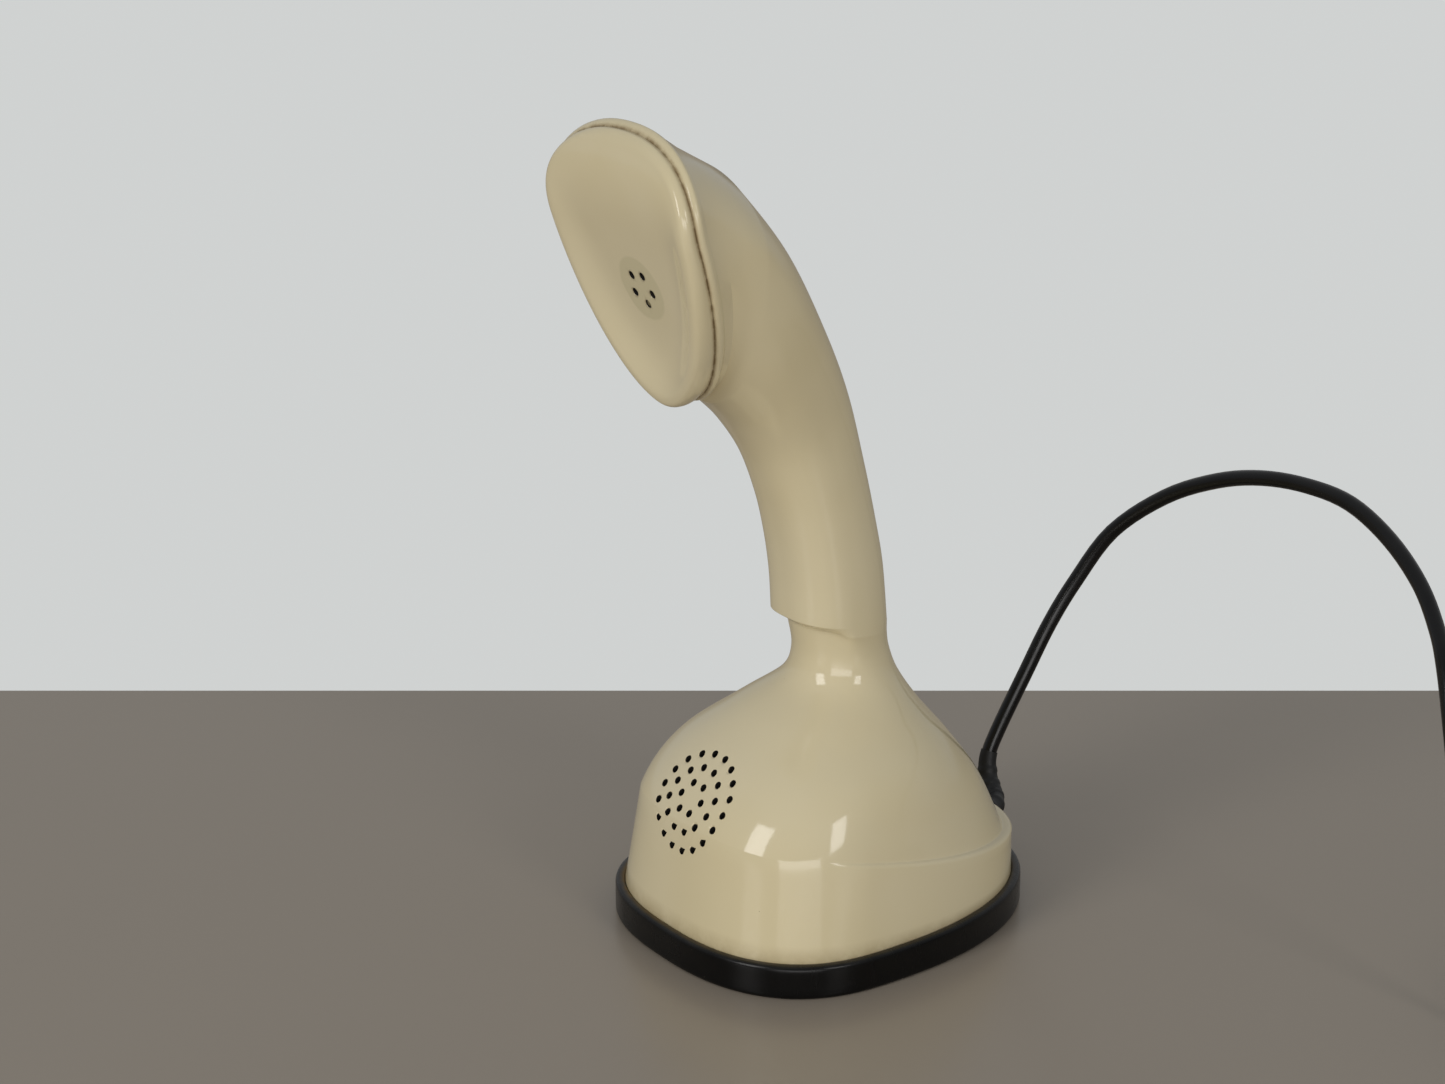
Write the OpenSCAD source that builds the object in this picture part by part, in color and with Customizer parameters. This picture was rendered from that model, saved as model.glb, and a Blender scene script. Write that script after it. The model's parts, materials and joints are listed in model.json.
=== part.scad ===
// Upright one-piece desk telephone with the dial and the hook button in its underside.
// The origin is under the middle of the whole telephone, on the table. The front faces -Y.

/* [Overall] */
// Height from the table to the top of the head
height = 233; // [195:1:285]
// Width of the rubber foot
base_width = 98; // [92:1:120]
// Depth of the rubber foot, front to rear
base_depth = 115; // [106:1:140]

/* [Shell] */
// Thickness of the moulded shell
wall = 2.8; // [2.2:0.1:3.4]
// Height of the rubber foot
foot_height = 9.5; // [8.5:0.5:12]
// How far the rubber foot stands out from the shell
foot_ledge = 2.6; // [1.5:0.1:4]
// Height of the skirt band above the foot at the rear
skirt_height = 12; // [8:0.5:15]
// How far the skirt band stands out at the rear
skirt_step = 2.8; // [1:0.2:3.4]
// Width of the neck at the finger rest
waist_width = 27; // [24:0.5:34]
// Width of the grip
grip_width = 29.6; // [26:0.5:36]
// Width of the head at the ear cap
head_width = 65; // [58:0.5:76]

/* [Ear cap] */
// How far the top of the ear cap stands out of the head
cap_rise = 2.9; // [2.5:0.1:4]
// How much further its bottom stands out
cap_tilt_rise = 4; // [2:0.5:6]
// Thickness of the ear cap
cap_wall = 2.2; // [1.6:0.1:2.6]
// Radius of each of the five ear holes
ear_hole_r = 1.15; // [0.8:0.05:1.5]
// Radius of the receiver capsule
receiver_r = 19; // [15:0.5:20]

/* [Microphone] */
// Radius of each microphone hole
mic_hole_r = 1.1; // [0.8:0.05:1.3]
// Distance between the three circles of microphone holes
mic_pitch = 4.6; // [3.8:0.1:5]
// Radius of the microphone capsule
mic_r = 14; // [11:0.5:15]

/* [Dial] */
// Radius of the finger wheel
wheel_r = 33; // [31:0.5:35]
// Radius of each finger hole
finger_hole_r = 5.8; // [5.2:0.1:6]
// Radius of the red hook button
button_r = 8.4; // [7:0.1:8.6]
// Travel of the hook button
button_travel = 6; // [4:0.5:8]
// Teeth on the main gear
main_teeth = 48; // [44:4:52]

/* [Cord] */
// Diameter of the cord
cord_d = 4.5; // [4:0.1:5]

/* [Hidden] */

ivory = [0.86, 0.80, 0.63];
rubber = [0.06, 0.06, 0.06];
steel = [0.70, 0.71, 0.72];
brass = [0.80, 0.65, 0.35];
grey_plastic = [0.45, 0.46, 0.47];
brown_board = [0.45, 0.28, 0.16];
red = [0.75, 0.12, 0.10];

eps = 0.01;
gap = 0.3;            // clearance between neighbouring fixed pieces
turn_fit = 0.05;      // radial clearance of a turning or sliding fit
sides = 48;           // points on each ring of the shell
screw_r = 1.5;
screw_head_r = 2.6;
screw_head_h = 1.6;

// The shell is drawn at these sizes and follows the driving ones
drawn_width = 98;
drawn_depth = 115;
drawn_height = 233;
drawn_foot = 9.5;
kx = base_width / drawn_width;
ky = base_depth / drawn_depth;
kz = (height - foot_height) / (drawn_height - drawn_foot);

// Foot outline: where it is widest, and how full its front and rear curves are
foot_widest = 0.36;
front_full = 2.5;
rear_full = 2.25;

// Stations: front y, front z, rear y, rear z, half width, front and rear fullness, widest place
bell_stations = [
    [-54.1,  20.0, 52.2,  20.0, 45.5, 2.50, 2.25, 0.36],
    [-51.2,  38.0, 43.6,  38.0, 42.2, 2.40, 2.20, 0.38],
    [-42.0,  51.0, 34.2,  51.0, 37.0, 2.30, 2.10, 0.42],
    [-27.5,  62.0, 25.2,  62.0, 25.5, 2.15, 2.05, 0.46],
    [-13.8,  70.5, 19.4,  71.0, waist_width / 2 + 3, 2.05, 2.00, 0.50],
    [-10.4,  78.5, 16.6,  78.5, waist_width / 2, 2.00, 2.00, 0.50],
    [-12.0,  88.4, 15.6,  84.0, waist_width / 2, 2.00, 2.00, 0.50]
];
grip_stations = [
    [-15.9,  91.0, 15.2,  86.6, grip_width / 2, 2.50, 2.20, 0.46],
    [-16.6, 102.0, 13.3, 104.0, grip_width / 2, 2.50, 2.20, 0.46],
    [-18.6, 114.0, 10.4, 118.0, grip_width / 2, 2.50, 2.15, 0.47],
    [-21.8, 125.5,  6.3, 134.5, grip_width / 2 + 0.3, 2.40, 2.10, 0.48],
    [-27.0, 138.0, -0.6, 156.0, grip_width / 2 + 1.8, 2.30, 2.15, 0.51],
    [-33.7, 148.0, -11.3, 176.4, head_width / 2 - 11.5, 2.20, 2.20, 0.56],
    [-40.0, 154.4, -27.2, 202.2, head_width / 2 - 6.0, 2.10, 2.00, 0.62],
    [-43.6, 157.2, -46.2, 223.4, head_width / 2 - 2.8, 2.00, 1.95, 0.68]
];

function scaled_z(z) = foot_height + (z - drawn_foot) * kz;
function station(s) =
    [s[0] * ky, scaled_z(s[1]), s[2] * ky, scaled_z(s[3]), s[4] * kx, s[5], s[6], s[7]];

// Smooth curve through rows of values; u counts the rows
function through(rows, u) =
    let(i = max(0, min(floor(u), len(rows) - 2)), t = u - i,
        a = rows[max(i - 1, 0)], b = rows[i], c = rows[i + 1], d = rows[min(i + 2, len(rows) - 1)])
    0.5 * (2 * b + (c - a) * t + (2 * a - 5 * b + 4 * c - d) * t * t
        + (3 * b - a - 3 * c + d) * t * t * t);
function bell_at(u) = station(through(bell_stations, u));
function grip_at(u) = station(through(grip_stations, u));

// A point on a rounded outline around its widest place
function egg(half, front, rear, front_n, rear_n, a) =
    let(c = cos(a), s = sin(a), n = s < 0 ? front_n : rear_n)
    [half * sign(c) * pow(abs(c), 2 / n), (s < 0 ? front : rear) * sign(s) * pow(abs(s), 2 / n)];

// One ring of the shell across a station
function section_ring(s, inset = 0, drop = 0) =
    let(f = [s[0], s[1]], r = [s[2], s[3]], long = norm(r - f), d = (r - f) / long)
    [for (i = [0 : sides - 1])
        let(front = s[7] * long, a = 360 * i / sides,
            p = egg(s[4] - inset, front - inset, long - front - inset, s[5], s[6], a), v = front + p.y)
        [p.x, f.x + d.x * v, f.y + d.y * v - drop]];

// The foot outline, moved in by inset, as plan points
function foot_outline(inset) =
    [for (i = [0 : sides - 1])
        let(p = egg(base_width / 2 - inset, foot_widest * base_depth - inset,
                (1 - foot_widest) * base_depth - inset, front_full, rear_full, 360 * i / sides))
        [p.x, p.y + (foot_widest - 0.5) * base_depth]];
function foot_ring(inset, z) = [for (p = foot_outline(inset)) [p.x, p.y, z]];

// Mouth of the head: a face that leans forward and bows back at its top
mouth_low = [-48.5 * ky, scaled_z(158.4)];
mouth_top = [-73.7 * ky, scaled_z(228.8)];
mouth_long = norm(mouth_top - mouth_low);
mouth_up = (mouth_top - mouth_low) / mouth_long;
mouth_out = [-mouth_up.y, mouth_up.x];
mouth_widest = 0.74;
mouth_bow = 8.4;
mouth_bow_from = 0.68;
mouth_front_full = 1.85;
mouth_rear_full = 2.25;
lip = 2.2;            // depth of the rounded lip around the mouth

function bow(v) = mouth_bow * pow(max(0, v / mouth_long - mouth_bow_from) / (1 - mouth_bow_from), 2);
function mouth_point(x, v, out) =
    [x, mouth_low.x + mouth_up.x * v + mouth_out.x * (out - bow(v)),
        mouth_low.y + mouth_up.y * v + mouth_out.y * (out - bow(v))];
// A point on the mouth's outline; fuller squares its upper corners
function mouth_outline(grow, a, fuller = 0) =
    egg(head_width / 2 * kx + grow, mouth_widest * mouth_long + grow,
        (1 - mouth_widest) * mouth_long + grow, mouth_front_full, mouth_rear_full + fuller, a)
    + [0, mouth_widest * mouth_long];
function mouth_ring(grow, out) =
    [for (i = [0 : sides - 1])
        let(p = mouth_outline(grow, 360 * i / sides)) mouth_point(p.x, p.y, out)];
// The ear cap's rise over the mouth, more at its bottom
function rise_at(v) = cap_rise + cap_tilt_rise * (1 - v / mouth_long);
function cap_ring(r, less = 0) =
    [for (i = [0 : sides - 1])
        let(p = mouth_outline(r[0] - less, 360 * i / sides, r[2]))
        mouth_point(p.x, p.y, r[1] * rise_at(p.y) - less)];

// Closed skin over a row of rings. A looped row closes on itself, as a tube's wall does
module skin(rings, looped = false) {
    m = len(rings[0]);
    n = len(rings);
    last = looped ? n - 1 : n - 2;
    polyhedron(
        points = [for (r = rings) each r],
        faces = concat(
            looped ? [] : [[for (i = [0 : m - 1]) i], [for (i = [m - 1 : -1 : 0]) (n - 1) * m + i]],
            [for (k = [0 : last]) for (i = [0 : m - 1])
                let(j = (i + 1) % m, k2 = (k + 1) % n)
                each [[k * m + i, k2 * m + i, k2 * m + j], [k * m + i, k2 * m + j, k * m + j]]]
        ),
        convexity = 10
    );
}

// Everything is drawn around the middle of the foot, then moved so that the box is centred
cap_seam = 0.1;
// Rings of the ear cap's edge: growth, share of the rise, extra fullness
cap_rings = [[-0.35, 0.15, 0], [-0.15, 0.4, 0], [-0.4, 0.66, 0.05], [-1, 0.86, 0.15], [-1.9, 0.97, 0.25],
    [-3, 1, 0.35]];
crest = cap_rings[len(cap_rings) - 1];
front_y = min([for (r = cap_rings) for (p = cap_ring(r)) p.y]);
base_y = -(front_y + base_depth / 2) / 2;
module place() { translate([0, base_y, 0]) children(); }

// Heights of the underside and the works
plate_z = 4.6;
plate_t = 2;
works_z = plate_z + plate_t;
shelf_in = 6.6;
dial_y = -8;
wheel_z = 2.4;
wheel_t = 2.2;
dial_base_t = 2;
dial_top_z = works_z + dial_base_t;
bush_h = 2.2;
hub_in_r = button_r + 0.6;
hub_r = hub_in_r + 1.8;
gear_z = dial_top_z + bush_h + 0.4;
gear_t = 2;
hub_top_z = gear_z + gear_t + 1.8;
bridge_z = 19.6;
bridge_t = 1.4;
chassis_z = 23.6;
chassis_t = 2;
post_r = 3;
post_reach = 28;
module at_dial(z = 0) { place() translate([0, dial_y, z]) children(); }
module at_posts() {
    for (sx = [-1, 1]) for (sy = [-1, 1])
        at_dial() translate([sx * post_reach, sy * post_reach, 0]) children();
}

// A cone-topped fastener standing on z = 0 with its head above
module screw(length, r = screw_r, head_r = screw_head_r) {
    translate([0, 0, -length]) cylinder(h = length, r = r - turn_fit, $fn = 32);
    cylinder(h = screw_head_h, r = head_r, $fn = 32);
}

// ---- Shell ----
skirt_top = foot_height + skirt_height - 1.5;
boss_r = 3.4;
boss_h = 12;
boss_rib = 2;
front_boss_y = -base_depth / 2 + shelf_in + screw_head_r + 0.2;
rear_boss_x = 20;
rear_boss_y = base_depth / 2 - 21.5;
bosses = [[0, front_boss_y, -1], [-rear_boss_x, rear_boss_y, 1], [rear_boss_x, rear_boss_y, 1]];
mic_u = 1.52;         // where the microphone sits along the bell's stations
mic_front = [bell_at(mic_u)[0], bell_at(mic_u)[1]];
mic_over = bell_at(mic_u + 0.2);
mic_under = bell_at(mic_u - 0.2);
mic_slope = [mic_over[0] - mic_under[0], mic_over[1] - mic_under[1]];
mic_tilt = atan2(mic_slope.x, mic_slope.y);
cord_exit_z = 15;
grommet_r = 4.2;

// Local frame on the bell's face: z points out of the shell
module at_mic() {
    place() translate([0, mic_front.x, mic_front.y]) rotate([90 - mic_tilt, 0, 0]) children();
}
// Local frame on the mouth: z points out of the head
module at_mouth(v, out = 0) {
    place() translate([0, mouth_low.x + mouth_up.x * v + mouth_out.x * out,
        mouth_low.y + mouth_up.y * v + mouth_out.y * out])
        rotate([90 + atan2(-mouth_up.x, mouth_up.y), 0, 0]) children();
}
module mic_holes(depth) {
    for (ring = [1 : 3]) for (i = [0 : 6 * ring - 1])
        rotate([0, 0, 360 * (i + (ring == 2 ? 0.5 : 0)) / (6 * ring)])
            translate([mic_pitch * ring, 0, -depth]) cylinder(h = 2 * depth, r = mic_hole_r, $fn = 24);
}
// The skirt's upper edge lies in a plane that rises towards the front, and fades out there
edge_slope = 0.165;
edge_fade_y = -33;
edge_fade = 12;
edge_rear_z = foot_height + skirt_height;
function column_y(a) = (foot_widest - 0.5) * base_depth
    + egg(1, foot_widest * base_depth, (1 - foot_widest) * base_depth, front_full, rear_full, a).y;
function edge_z(a) = edge_rear_z + edge_slope * (base_depth / 2 - column_y(a) * 0.94);
function edge_step(a) =
    let(y = column_y(a), far = (y - edge_fade_y * ky) / (base_depth / 2 - edge_fade_y * ky))
    far <= 0 ? 0 : min(1, far * 8) * (0.7 + (skirt_step - 0.7) * far * far);
// Where height z lies along the bell's first stations
function bell_u(z) =
    let(a = scaled_z(bell_stations[0][1]), b = scaled_z(bell_stations[1][1]),
        c = scaled_z(bell_stations[2][1]))
    z < b ? (z - a) / (b - a) : 1 + (z - b) / (c - b);
bell_top = 1.6;       // where the rings become level again
// Ring beside the edge: its share of the step, its drop below the edge, its way up to bell_top
function column_ring(share, drop, rise) =
    [for (i = [0 : sides - 1])
        let(a = 360 * i / sides, u = bell_u(edge_z(a) - drop))
        section_ring(bell_at(u + (bell_top - u) * rise), -share * edge_step(a))[i]];
function skirt_ring(t) =
    let(low = foot_ring(foot_ledge + 0.1, foot_height), top = column_ring(1, 1.1, 0))
    [for (i = [0 : sides - 1]) low[i] + (top[i] - low[i]) * t];
function outer_rings() = concat(
    [foot_ring(foot_ledge + 0.1, plate_z)],
    [for (t = [0, 0.35, 0.7, 1]) skirt_ring(t)],
    [column_ring(0.93, 0.55, 0), column_ring(0.72, 0.15, 0), column_ring(0.38, -0.05, 0),
        column_ring(0.08, -0.2, 0), column_ring(0, -0.7, 0)],
    [for (t = [0.25, 0.5, 0.75]) column_ring(0, 0, t)],
    [for (u = [bell_top : 0.4 : 6]) section_ring(bell_at(u))],
    [for (u = [0 : 0.4 : 6.8]) section_ring(grip_at(u))],
    [mouth_ring(-0.9, -lip - 1.6), mouth_ring(0.35, -lip), mouth_ring(0.7, -lip + 0.6),
        mouth_ring(0.65, -0.7), mouth_ring(0.25, -0.15), mouth_ring(-0.4, 0)]
);
function inner_rings() = concat(
    [mouth_ring(-wall, 0), mouth_ring(-wall, -lip)],
    [for (u = [6.6 : -0.8 : 0]) section_ring(grip_at(u), wall)],
    [for (u = [6 : -0.6 : 0.3]) section_ring(bell_at(u), wall, u > 1.2 && u < 5.2 ? 0.6 * wall : 0)],
    [foot_ring(foot_ledge + 0.1 + wall, skirt_top), foot_ring(foot_ledge + 0.1 + wall, plate_z)]
);
// Length of the rib from a boss to just inside the shell's wall
function wall_edge(x, side) =
    let(inset = foot_ledge + 0.1 + wall, half = base_width / 2 - inset,
        long = (side > 0 ? 1 - foot_widest : foot_widest) * base_depth - inset,
        n = side > 0 ? rear_full : front_full)
    (foot_widest - 0.5) * base_depth + side * long * pow(1 - pow(abs(x) / half, n), 1 / n);
function rib_reach(b) = abs(wall_edge(abs(b.x) + boss_rib / 2, b.z) - b.y) + wall / 2;
module housing() {
    color(ivory) difference() {
        union() {
            place() skin(concat(outer_rings(), inner_rings()), looped = true);
            for (b = bosses) place() translate([b.x, b.y, works_z]) {
                cylinder(h = boss_h, r = boss_r, $fn = 32);
                translate([-boss_rib / 2, b.z > 0 ? 0 : -rib_reach(b), 0])
                    cube([boss_rib, rib_reach(b), boss_h]);
            }
        }
        for (b = bosses) place() translate([b.x, b.y, works_z - eps])
            cylinder(h = boss_h - 2, r = screw_r, $fn = 32);
        at_mic() mic_holes(9);
        place() translate([0, base_depth / 2 - 12, cord_exit_z]) rotate([-90, 0, 0])
            cylinder(h = 20, r = grommet_r, $fn = 32);
    }
}

// ---- Ear cap and receiver ----
ear_v = 0.453 * mouth_long;   // height of the ear holes on the mouth
ear_disc_r = 9;
ear_disc_out = 1.8;
ear_hole_circle = 4.45;
ear_hole_turn = 278;  // direction of the lowest hole, in degrees
// The dish from the crest (first) into the disc (last): way along, share of the fall left
dish = [[0.06, 0.97], [0.14, 0.82], [0.28, 0.52], [0.48, 0.22], [0.75, 0.05], [1, 0]];
receiver_front = -2.2;
receiver_t = 10;
receiver_back = receiver_front - receiver_t;
cap_post_r = 2.2;
cap_post_reach = receiver_r + cap_post_r + gap;
cap_post_angles = [20, 160, 270];
clamp_t = 1.2;
small_screw_r = 1;

// Rings that run from the cap's crest into the round disc of ear holes
function dish_ring(d, less = 0) =
    [for (i = [0 : sides - 1])
        let(a = 360 * i / sides, p = mouth_outline(crest[0], a, crest[2]),
            q = [ear_disc_r * cos(a), ear_v + ear_disc_r * sin(a)], m = p + (q - p) * d[0],
            fall = ear_disc_out + (rise_at(p.y) - ear_disc_out) * d[1])
        mouth_point(m.x, m.y, fall - less + d[0] * bow(m.y))];

module ear_cap() {
    last = len(dish) - 1;
    color(ivory) difference() {
        union() {
            place() skin(concat(
                [for (k = [last : -1 : 1]) dish_ring(dish[k], cap_wall)],
                [mouth_ring(-0.6 - cap_wall, cap_seam + 0.3), mouth_ring(-0.4 - cap_wall, cap_seam)],
                [mouth_ring(-0.4, cap_seam)],
                [for (r = cap_rings) cap_ring(r)],
                [for (d = dish) dish_ring(d)]));
            for (a = cap_post_angles) at_mouth(ear_v, receiver_back) rotate([0, 0, a])
                translate([cap_post_reach, 0, 0])
                    cylinder(h = -receiver_back + 1.2, r = cap_post_r, $fn = 24);
        }
        for (a = cap_post_angles) at_mouth(ear_v, receiver_back - eps) rotate([0, 0, a])
            translate([cap_post_reach, 0, 0]) cylinder(h = 6, r = small_screw_r, $fn = 24);
        at_mouth(ear_v, -4) for (i = [0 : 4]) rotate([0, 0, ear_hole_turn + 72 * i])
            translate([ear_hole_circle, 0, 0]) cylinder(h = 12, r = ear_hole_r, $fn = 24);
    }
}
module ring_plate(outer, inner, t) {
    difference() {
        cylinder(h = t, r = outer, $fn = 64);
        translate([0, 0, -eps]) cylinder(h = t + 2 * eps, r = inner, $fn = 64);
    }
}
module cap_gasket() {
    color(rubber) at_mouth(ear_v, receiver_front) ring_plate(receiver_r - 4, receiver_r - 8, 1.6);
}
module receiver_capsule() {
    color(steel) at_mouth(ear_v, receiver_back) {
        cylinder(h = receiver_t - 1.2, r = receiver_r, $fn = 64);
        cylinder(h = receiver_t, r = receiver_r - 1.5, $fn = 64);
    }
}
module receiver_grid() {
    color(brass) at_mouth(ear_v, receiver_front) difference() {
        cylinder(h = 0.8, r = receiver_r - 8.4, $fn = 48);
        for (i = [0 : 5]) rotate([0, 0, 60 * i]) translate([5, 0, -eps]) cylinder(h = 1, r = 1.2, $fn = 24);
    }
}
module receiver_clamp() {
    color(steel) at_mouth(ear_v, receiver_back - clamp_t) difference() {
        union() {
            ring_plate(receiver_r - 2, receiver_r - 6, clamp_t);
            for (a = cap_post_angles) rotate([0, 0, a]) translate([receiver_r - 4, -cap_post_r, 0])
                cube([cap_post_reach - receiver_r + 4 + cap_post_r, 2 * cap_post_r, clamp_t]);
        }
        for (a = cap_post_angles) rotate([0, 0, a]) translate([cap_post_reach, 0, -eps])
            cylinder(h = 2 * clamp_t, r = small_screw_r, $fn = 24);
    }
}
module receiver_screws() {
    color(steel) for (a = cap_post_angles) at_mouth(ear_v, receiver_back - clamp_t) rotate([0, 0, a])
        translate([cap_post_reach, 0, 0]) rotate([180, 0, 0]) screw(6, small_screw_r, 1.9);
}

// ---- Microphone ----
mic_gasket_gap = 3.45;
mic_gasket_out = -(wall + mic_gasket_gap);
mic_gasket_t = 1.4;
mic_t = 10.4;
mic_back = mic_gasket_out - mic_gasket_t - mic_t;
chassis_top = chassis_z + chassis_t;
bracket_t = 1.2;
bracket_w = 14;
mic_back_drop = (mic_front.y + mic_back * sin(mic_tilt) - chassis_top) / cos(mic_tilt);
foot_y = mic_front.x - (mic_back - bracket_t) * cos(mic_tilt) - mic_back_drop * sin(mic_tilt);
bracket_foot = 10;

module mic_capsule() {
    color(steel) at_mic() translate([0, 0, mic_back]) cylinder(h = mic_t, r = mic_r, $fn = 64);
}
module mic_gasket() {
    color(rubber) at_mic() translate([0, 0, mic_gasket_out - mic_gasket_t])
        ring_plate(mic_r - 1, mic_r - 4, mic_gasket_t);
}
module mic_bracket() {
    color(steel) difference() {
        union() {
            intersection() {
                at_mic() translate([0, 0, mic_back - bracket_t]) {
                    cylinder(h = bracket_t, r = mic_r - 4, $fn = 48);
                    translate([-bracket_w / 2, -2 * mic_r, 0]) cube([bracket_w, 2 * mic_r, bracket_t]);
                }
                place() translate([-base_width / 2, -base_depth / 2, chassis_top])
                    cube([base_width, base_depth, height / 2]);
            }
            place() translate([-bracket_w / 2, foot_y, chassis_top])
                cube([bracket_w, bracket_foot, bracket_t]);
        }
        for (s = [-1, 1]) place() translate([s * 4, foot_y + bracket_foot - 3, chassis_top - eps])
            cylinder(h = 2 * bracket_t, r = small_screw_r, $fn = 24);
    }
}
module mic_bracket_screws() {
    color(steel) for (s = [-1, 1])
        place() translate([s * 4, foot_y + bracket_foot - 3, chassis_top + bracket_t])
            screw(bracket_t + chassis_t, small_screw_r, 1.8);
}

// ---- Foot, bottom plate and chassis ----
dial_hole_r = wheel_r + 1;
dial_base_r = wheel_r + 2.2;
ear_reach = dial_base_r + 2.4;
dial_ear_angles = [90, 210, 330];
module base_ring() {
    color(rubber) place() skin([
        foot_ring(0.6, 0), foot_ring(0, 0.7), foot_ring(0, foot_height - 1), foot_ring(1, foot_height),
        foot_ring(foot_ledge, foot_height), foot_ring(foot_ledge, plate_z), foot_ring(shelf_in, plate_z),
        foot_ring(shelf_in, 0)], looped = true);
}
module bottom_plate() {
    color(rubber) difference() {
        place() translate([0, 0, plate_z]) linear_extrude(plate_t)
            polygon(foot_outline(foot_ledge + 0.1 + wall + gap));
        at_dial(plate_z - eps) cylinder(h = 2 * plate_t, r = dial_hole_r, $fn = 96);
        at_posts() translate([0, 0, plate_z - eps]) cylinder(h = 2 * plate_t, r = screw_r, $fn = 32);
        for (b = bosses) place() translate([b.x, b.y, plate_z - eps])
            cylinder(h = 2 * plate_t, r = screw_r, $fn = 32);
        for (a = dial_ear_angles) at_dial(plate_z - eps) rotate([0, 0, a]) translate([ear_reach, 0, 0])
            cylinder(h = 2 * plate_t, r = small_screw_r, $fn = 24);
        at_dial(plate_z - eps) rotate([0, 0, stop_angle]) translate([stop_screw_reach, 0, 0])
            cylinder(h = 2 * plate_t, r = small_screw_r, $fn = 24);
    }
}
module bottom_screws() {
    color(steel) at_posts() translate([0, 0, plate_z]) rotate([180, 0, 0]) screw(plate_t + 8);
}
module shell_screws() {
    color(steel) for (b = bosses) place() translate([b.x, b.y, plate_z]) rotate([180, 0, 0])
        screw(plate_t + boss_h - 3);
}
module chassis_plate() {
    color(steel) difference() {
        union() {
            at_dial(chassis_z) intersection() {
                cylinder(h = chassis_t, r = post_reach * sqrt(2) + post_r - 0.4, $fn = 96);
                translate([-post_reach - post_r, -post_reach - post_r, 0])
                    cube([2 * (post_reach + post_r), 2 * (post_reach + post_r), chassis_t]);
            }
            at_posts() translate([0, 0, works_z])
                cylinder(h = chassis_z - works_z + eps, r = post_r, $fn = 32);
        }
        at_posts() translate([0, 0, works_z - eps]) cylinder(h = 9, r = screw_r, $fn = 32);
        at_dial(chassis_z - eps) cylinder(h = 2 * chassis_t, r = stem_r + turn_fit, $fn = 48);
        at_mic() translate([0, 0, mic_back - bracket_t]) cylinder(h = 2 * mic_r, r = mic_r + 1, $fn = 64);
        for (s = [-1, 1]) place() translate([s * 4, foot_y + bracket_foot - 3, chassis_z - eps])
            cylinder(h = 2 * chassis_t, r = small_screw_r, $fn = 24);
    }
}

// ---- Dial ----
finger_circle = wheel_r - finger_hole_r - 1.7;
finger_step = 30;
first_hole = -60;
stop_angle = 5;
stop_screw_reach = dial_hole_r + 3.5;
module finger_wheel() {
    color(grey_plastic) at_dial() difference() {
        union() {
            translate([0, 0, wheel_z]) cylinder(h = wheel_t, r = wheel_r, $fn = 128);
            translate([0, 0, wheel_z]) cylinder(h = hub_top_z - wheel_z, r = hub_r, $fn = 96);
        }
        translate([0, 0, wheel_z - eps]) cylinder(h = hub_top_z, r = hub_in_r, $fn = 96);
        for (i = [0 : 9]) rotate([0, 0, first_hole - finger_step * i])
            translate([finger_circle, 0, wheel_z - eps])
                cylinder(h = wheel_t + 2 * eps, r = finger_hole_r, $fn = 48);
    }
}
module number_plate() {
    color(ivory) at_dial(works_z - 0.8) ring_plate(dial_hole_r - gap, hub_r + 1, 0.8);
}
module dial_base() {
    color(grey_plastic) at_dial(works_z) difference() {
        union() {
            cylinder(h = dial_base_t, r = dial_base_r, $fn = 96);
            cylinder(h = dial_base_t + bush_h, r = hub_r + 2.4, $fn = 64);
            for (a = dial_ear_angles) rotate([0, 0, a]) translate([dial_base_r - 2, -3, 0])
                cube([ear_reach - dial_base_r + 4.4, 6, dial_base_t]);
        }
        translate([0, 0, -eps]) cylinder(h = 10, r = hub_r + turn_fit, $fn = 96);
        for (a = dial_ear_angles) rotate([0, 0, a]) translate([ear_reach, 0, -eps])
            cylinder(h = 10, r = small_screw_r, $fn = 24);
        for (p = [pinion_at, governor_at]) translate([p.x, p.y, -eps])
            cylinder(h = 10, r = spindle_r + turn_fit, $fn = 32);
    }
}
module dial_screws() {
    color(steel) for (a = dial_ear_angles) at_dial(dial_top_z) rotate([0, 0, a])
        translate([ear_reach, 0, 0]) screw(dial_base_t + plate_t, small_screw_r, 1.9);
}
stop_t = 1.2;
stop_foot_t = 1;
module finger_stop() {
    color(steel) at_dial() difference() {
        rotate([0, 0, stop_angle]) union() {
            translate([finger_circle - 3, -2, 0.7]) cube([dial_hole_r + 1.5 - finger_circle + 3, 4, stop_t]);
            translate([dial_hole_r + gap, -2, 0.7]) cube([1.2, 4, plate_z - 0.7]);
            translate([dial_hole_r + gap, -3, plate_z - stop_foot_t]) cube([5, 6, stop_foot_t]);
        }
        rotate([0, 0, stop_angle]) translate([stop_screw_reach, 0, plate_z - 2])
            cylinder(h = 4, r = small_screw_r, $fn = 24);
    }
}
module finger_stop_screw() {
    color(steel) at_dial(plate_z - stop_foot_t) rotate([0, 0, stop_angle])
        translate([stop_screw_reach, 0, 0]) rotate([180, 0, 0])
            screw(stop_foot_t + plate_t, small_screw_r, 1.7);
}

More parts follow.
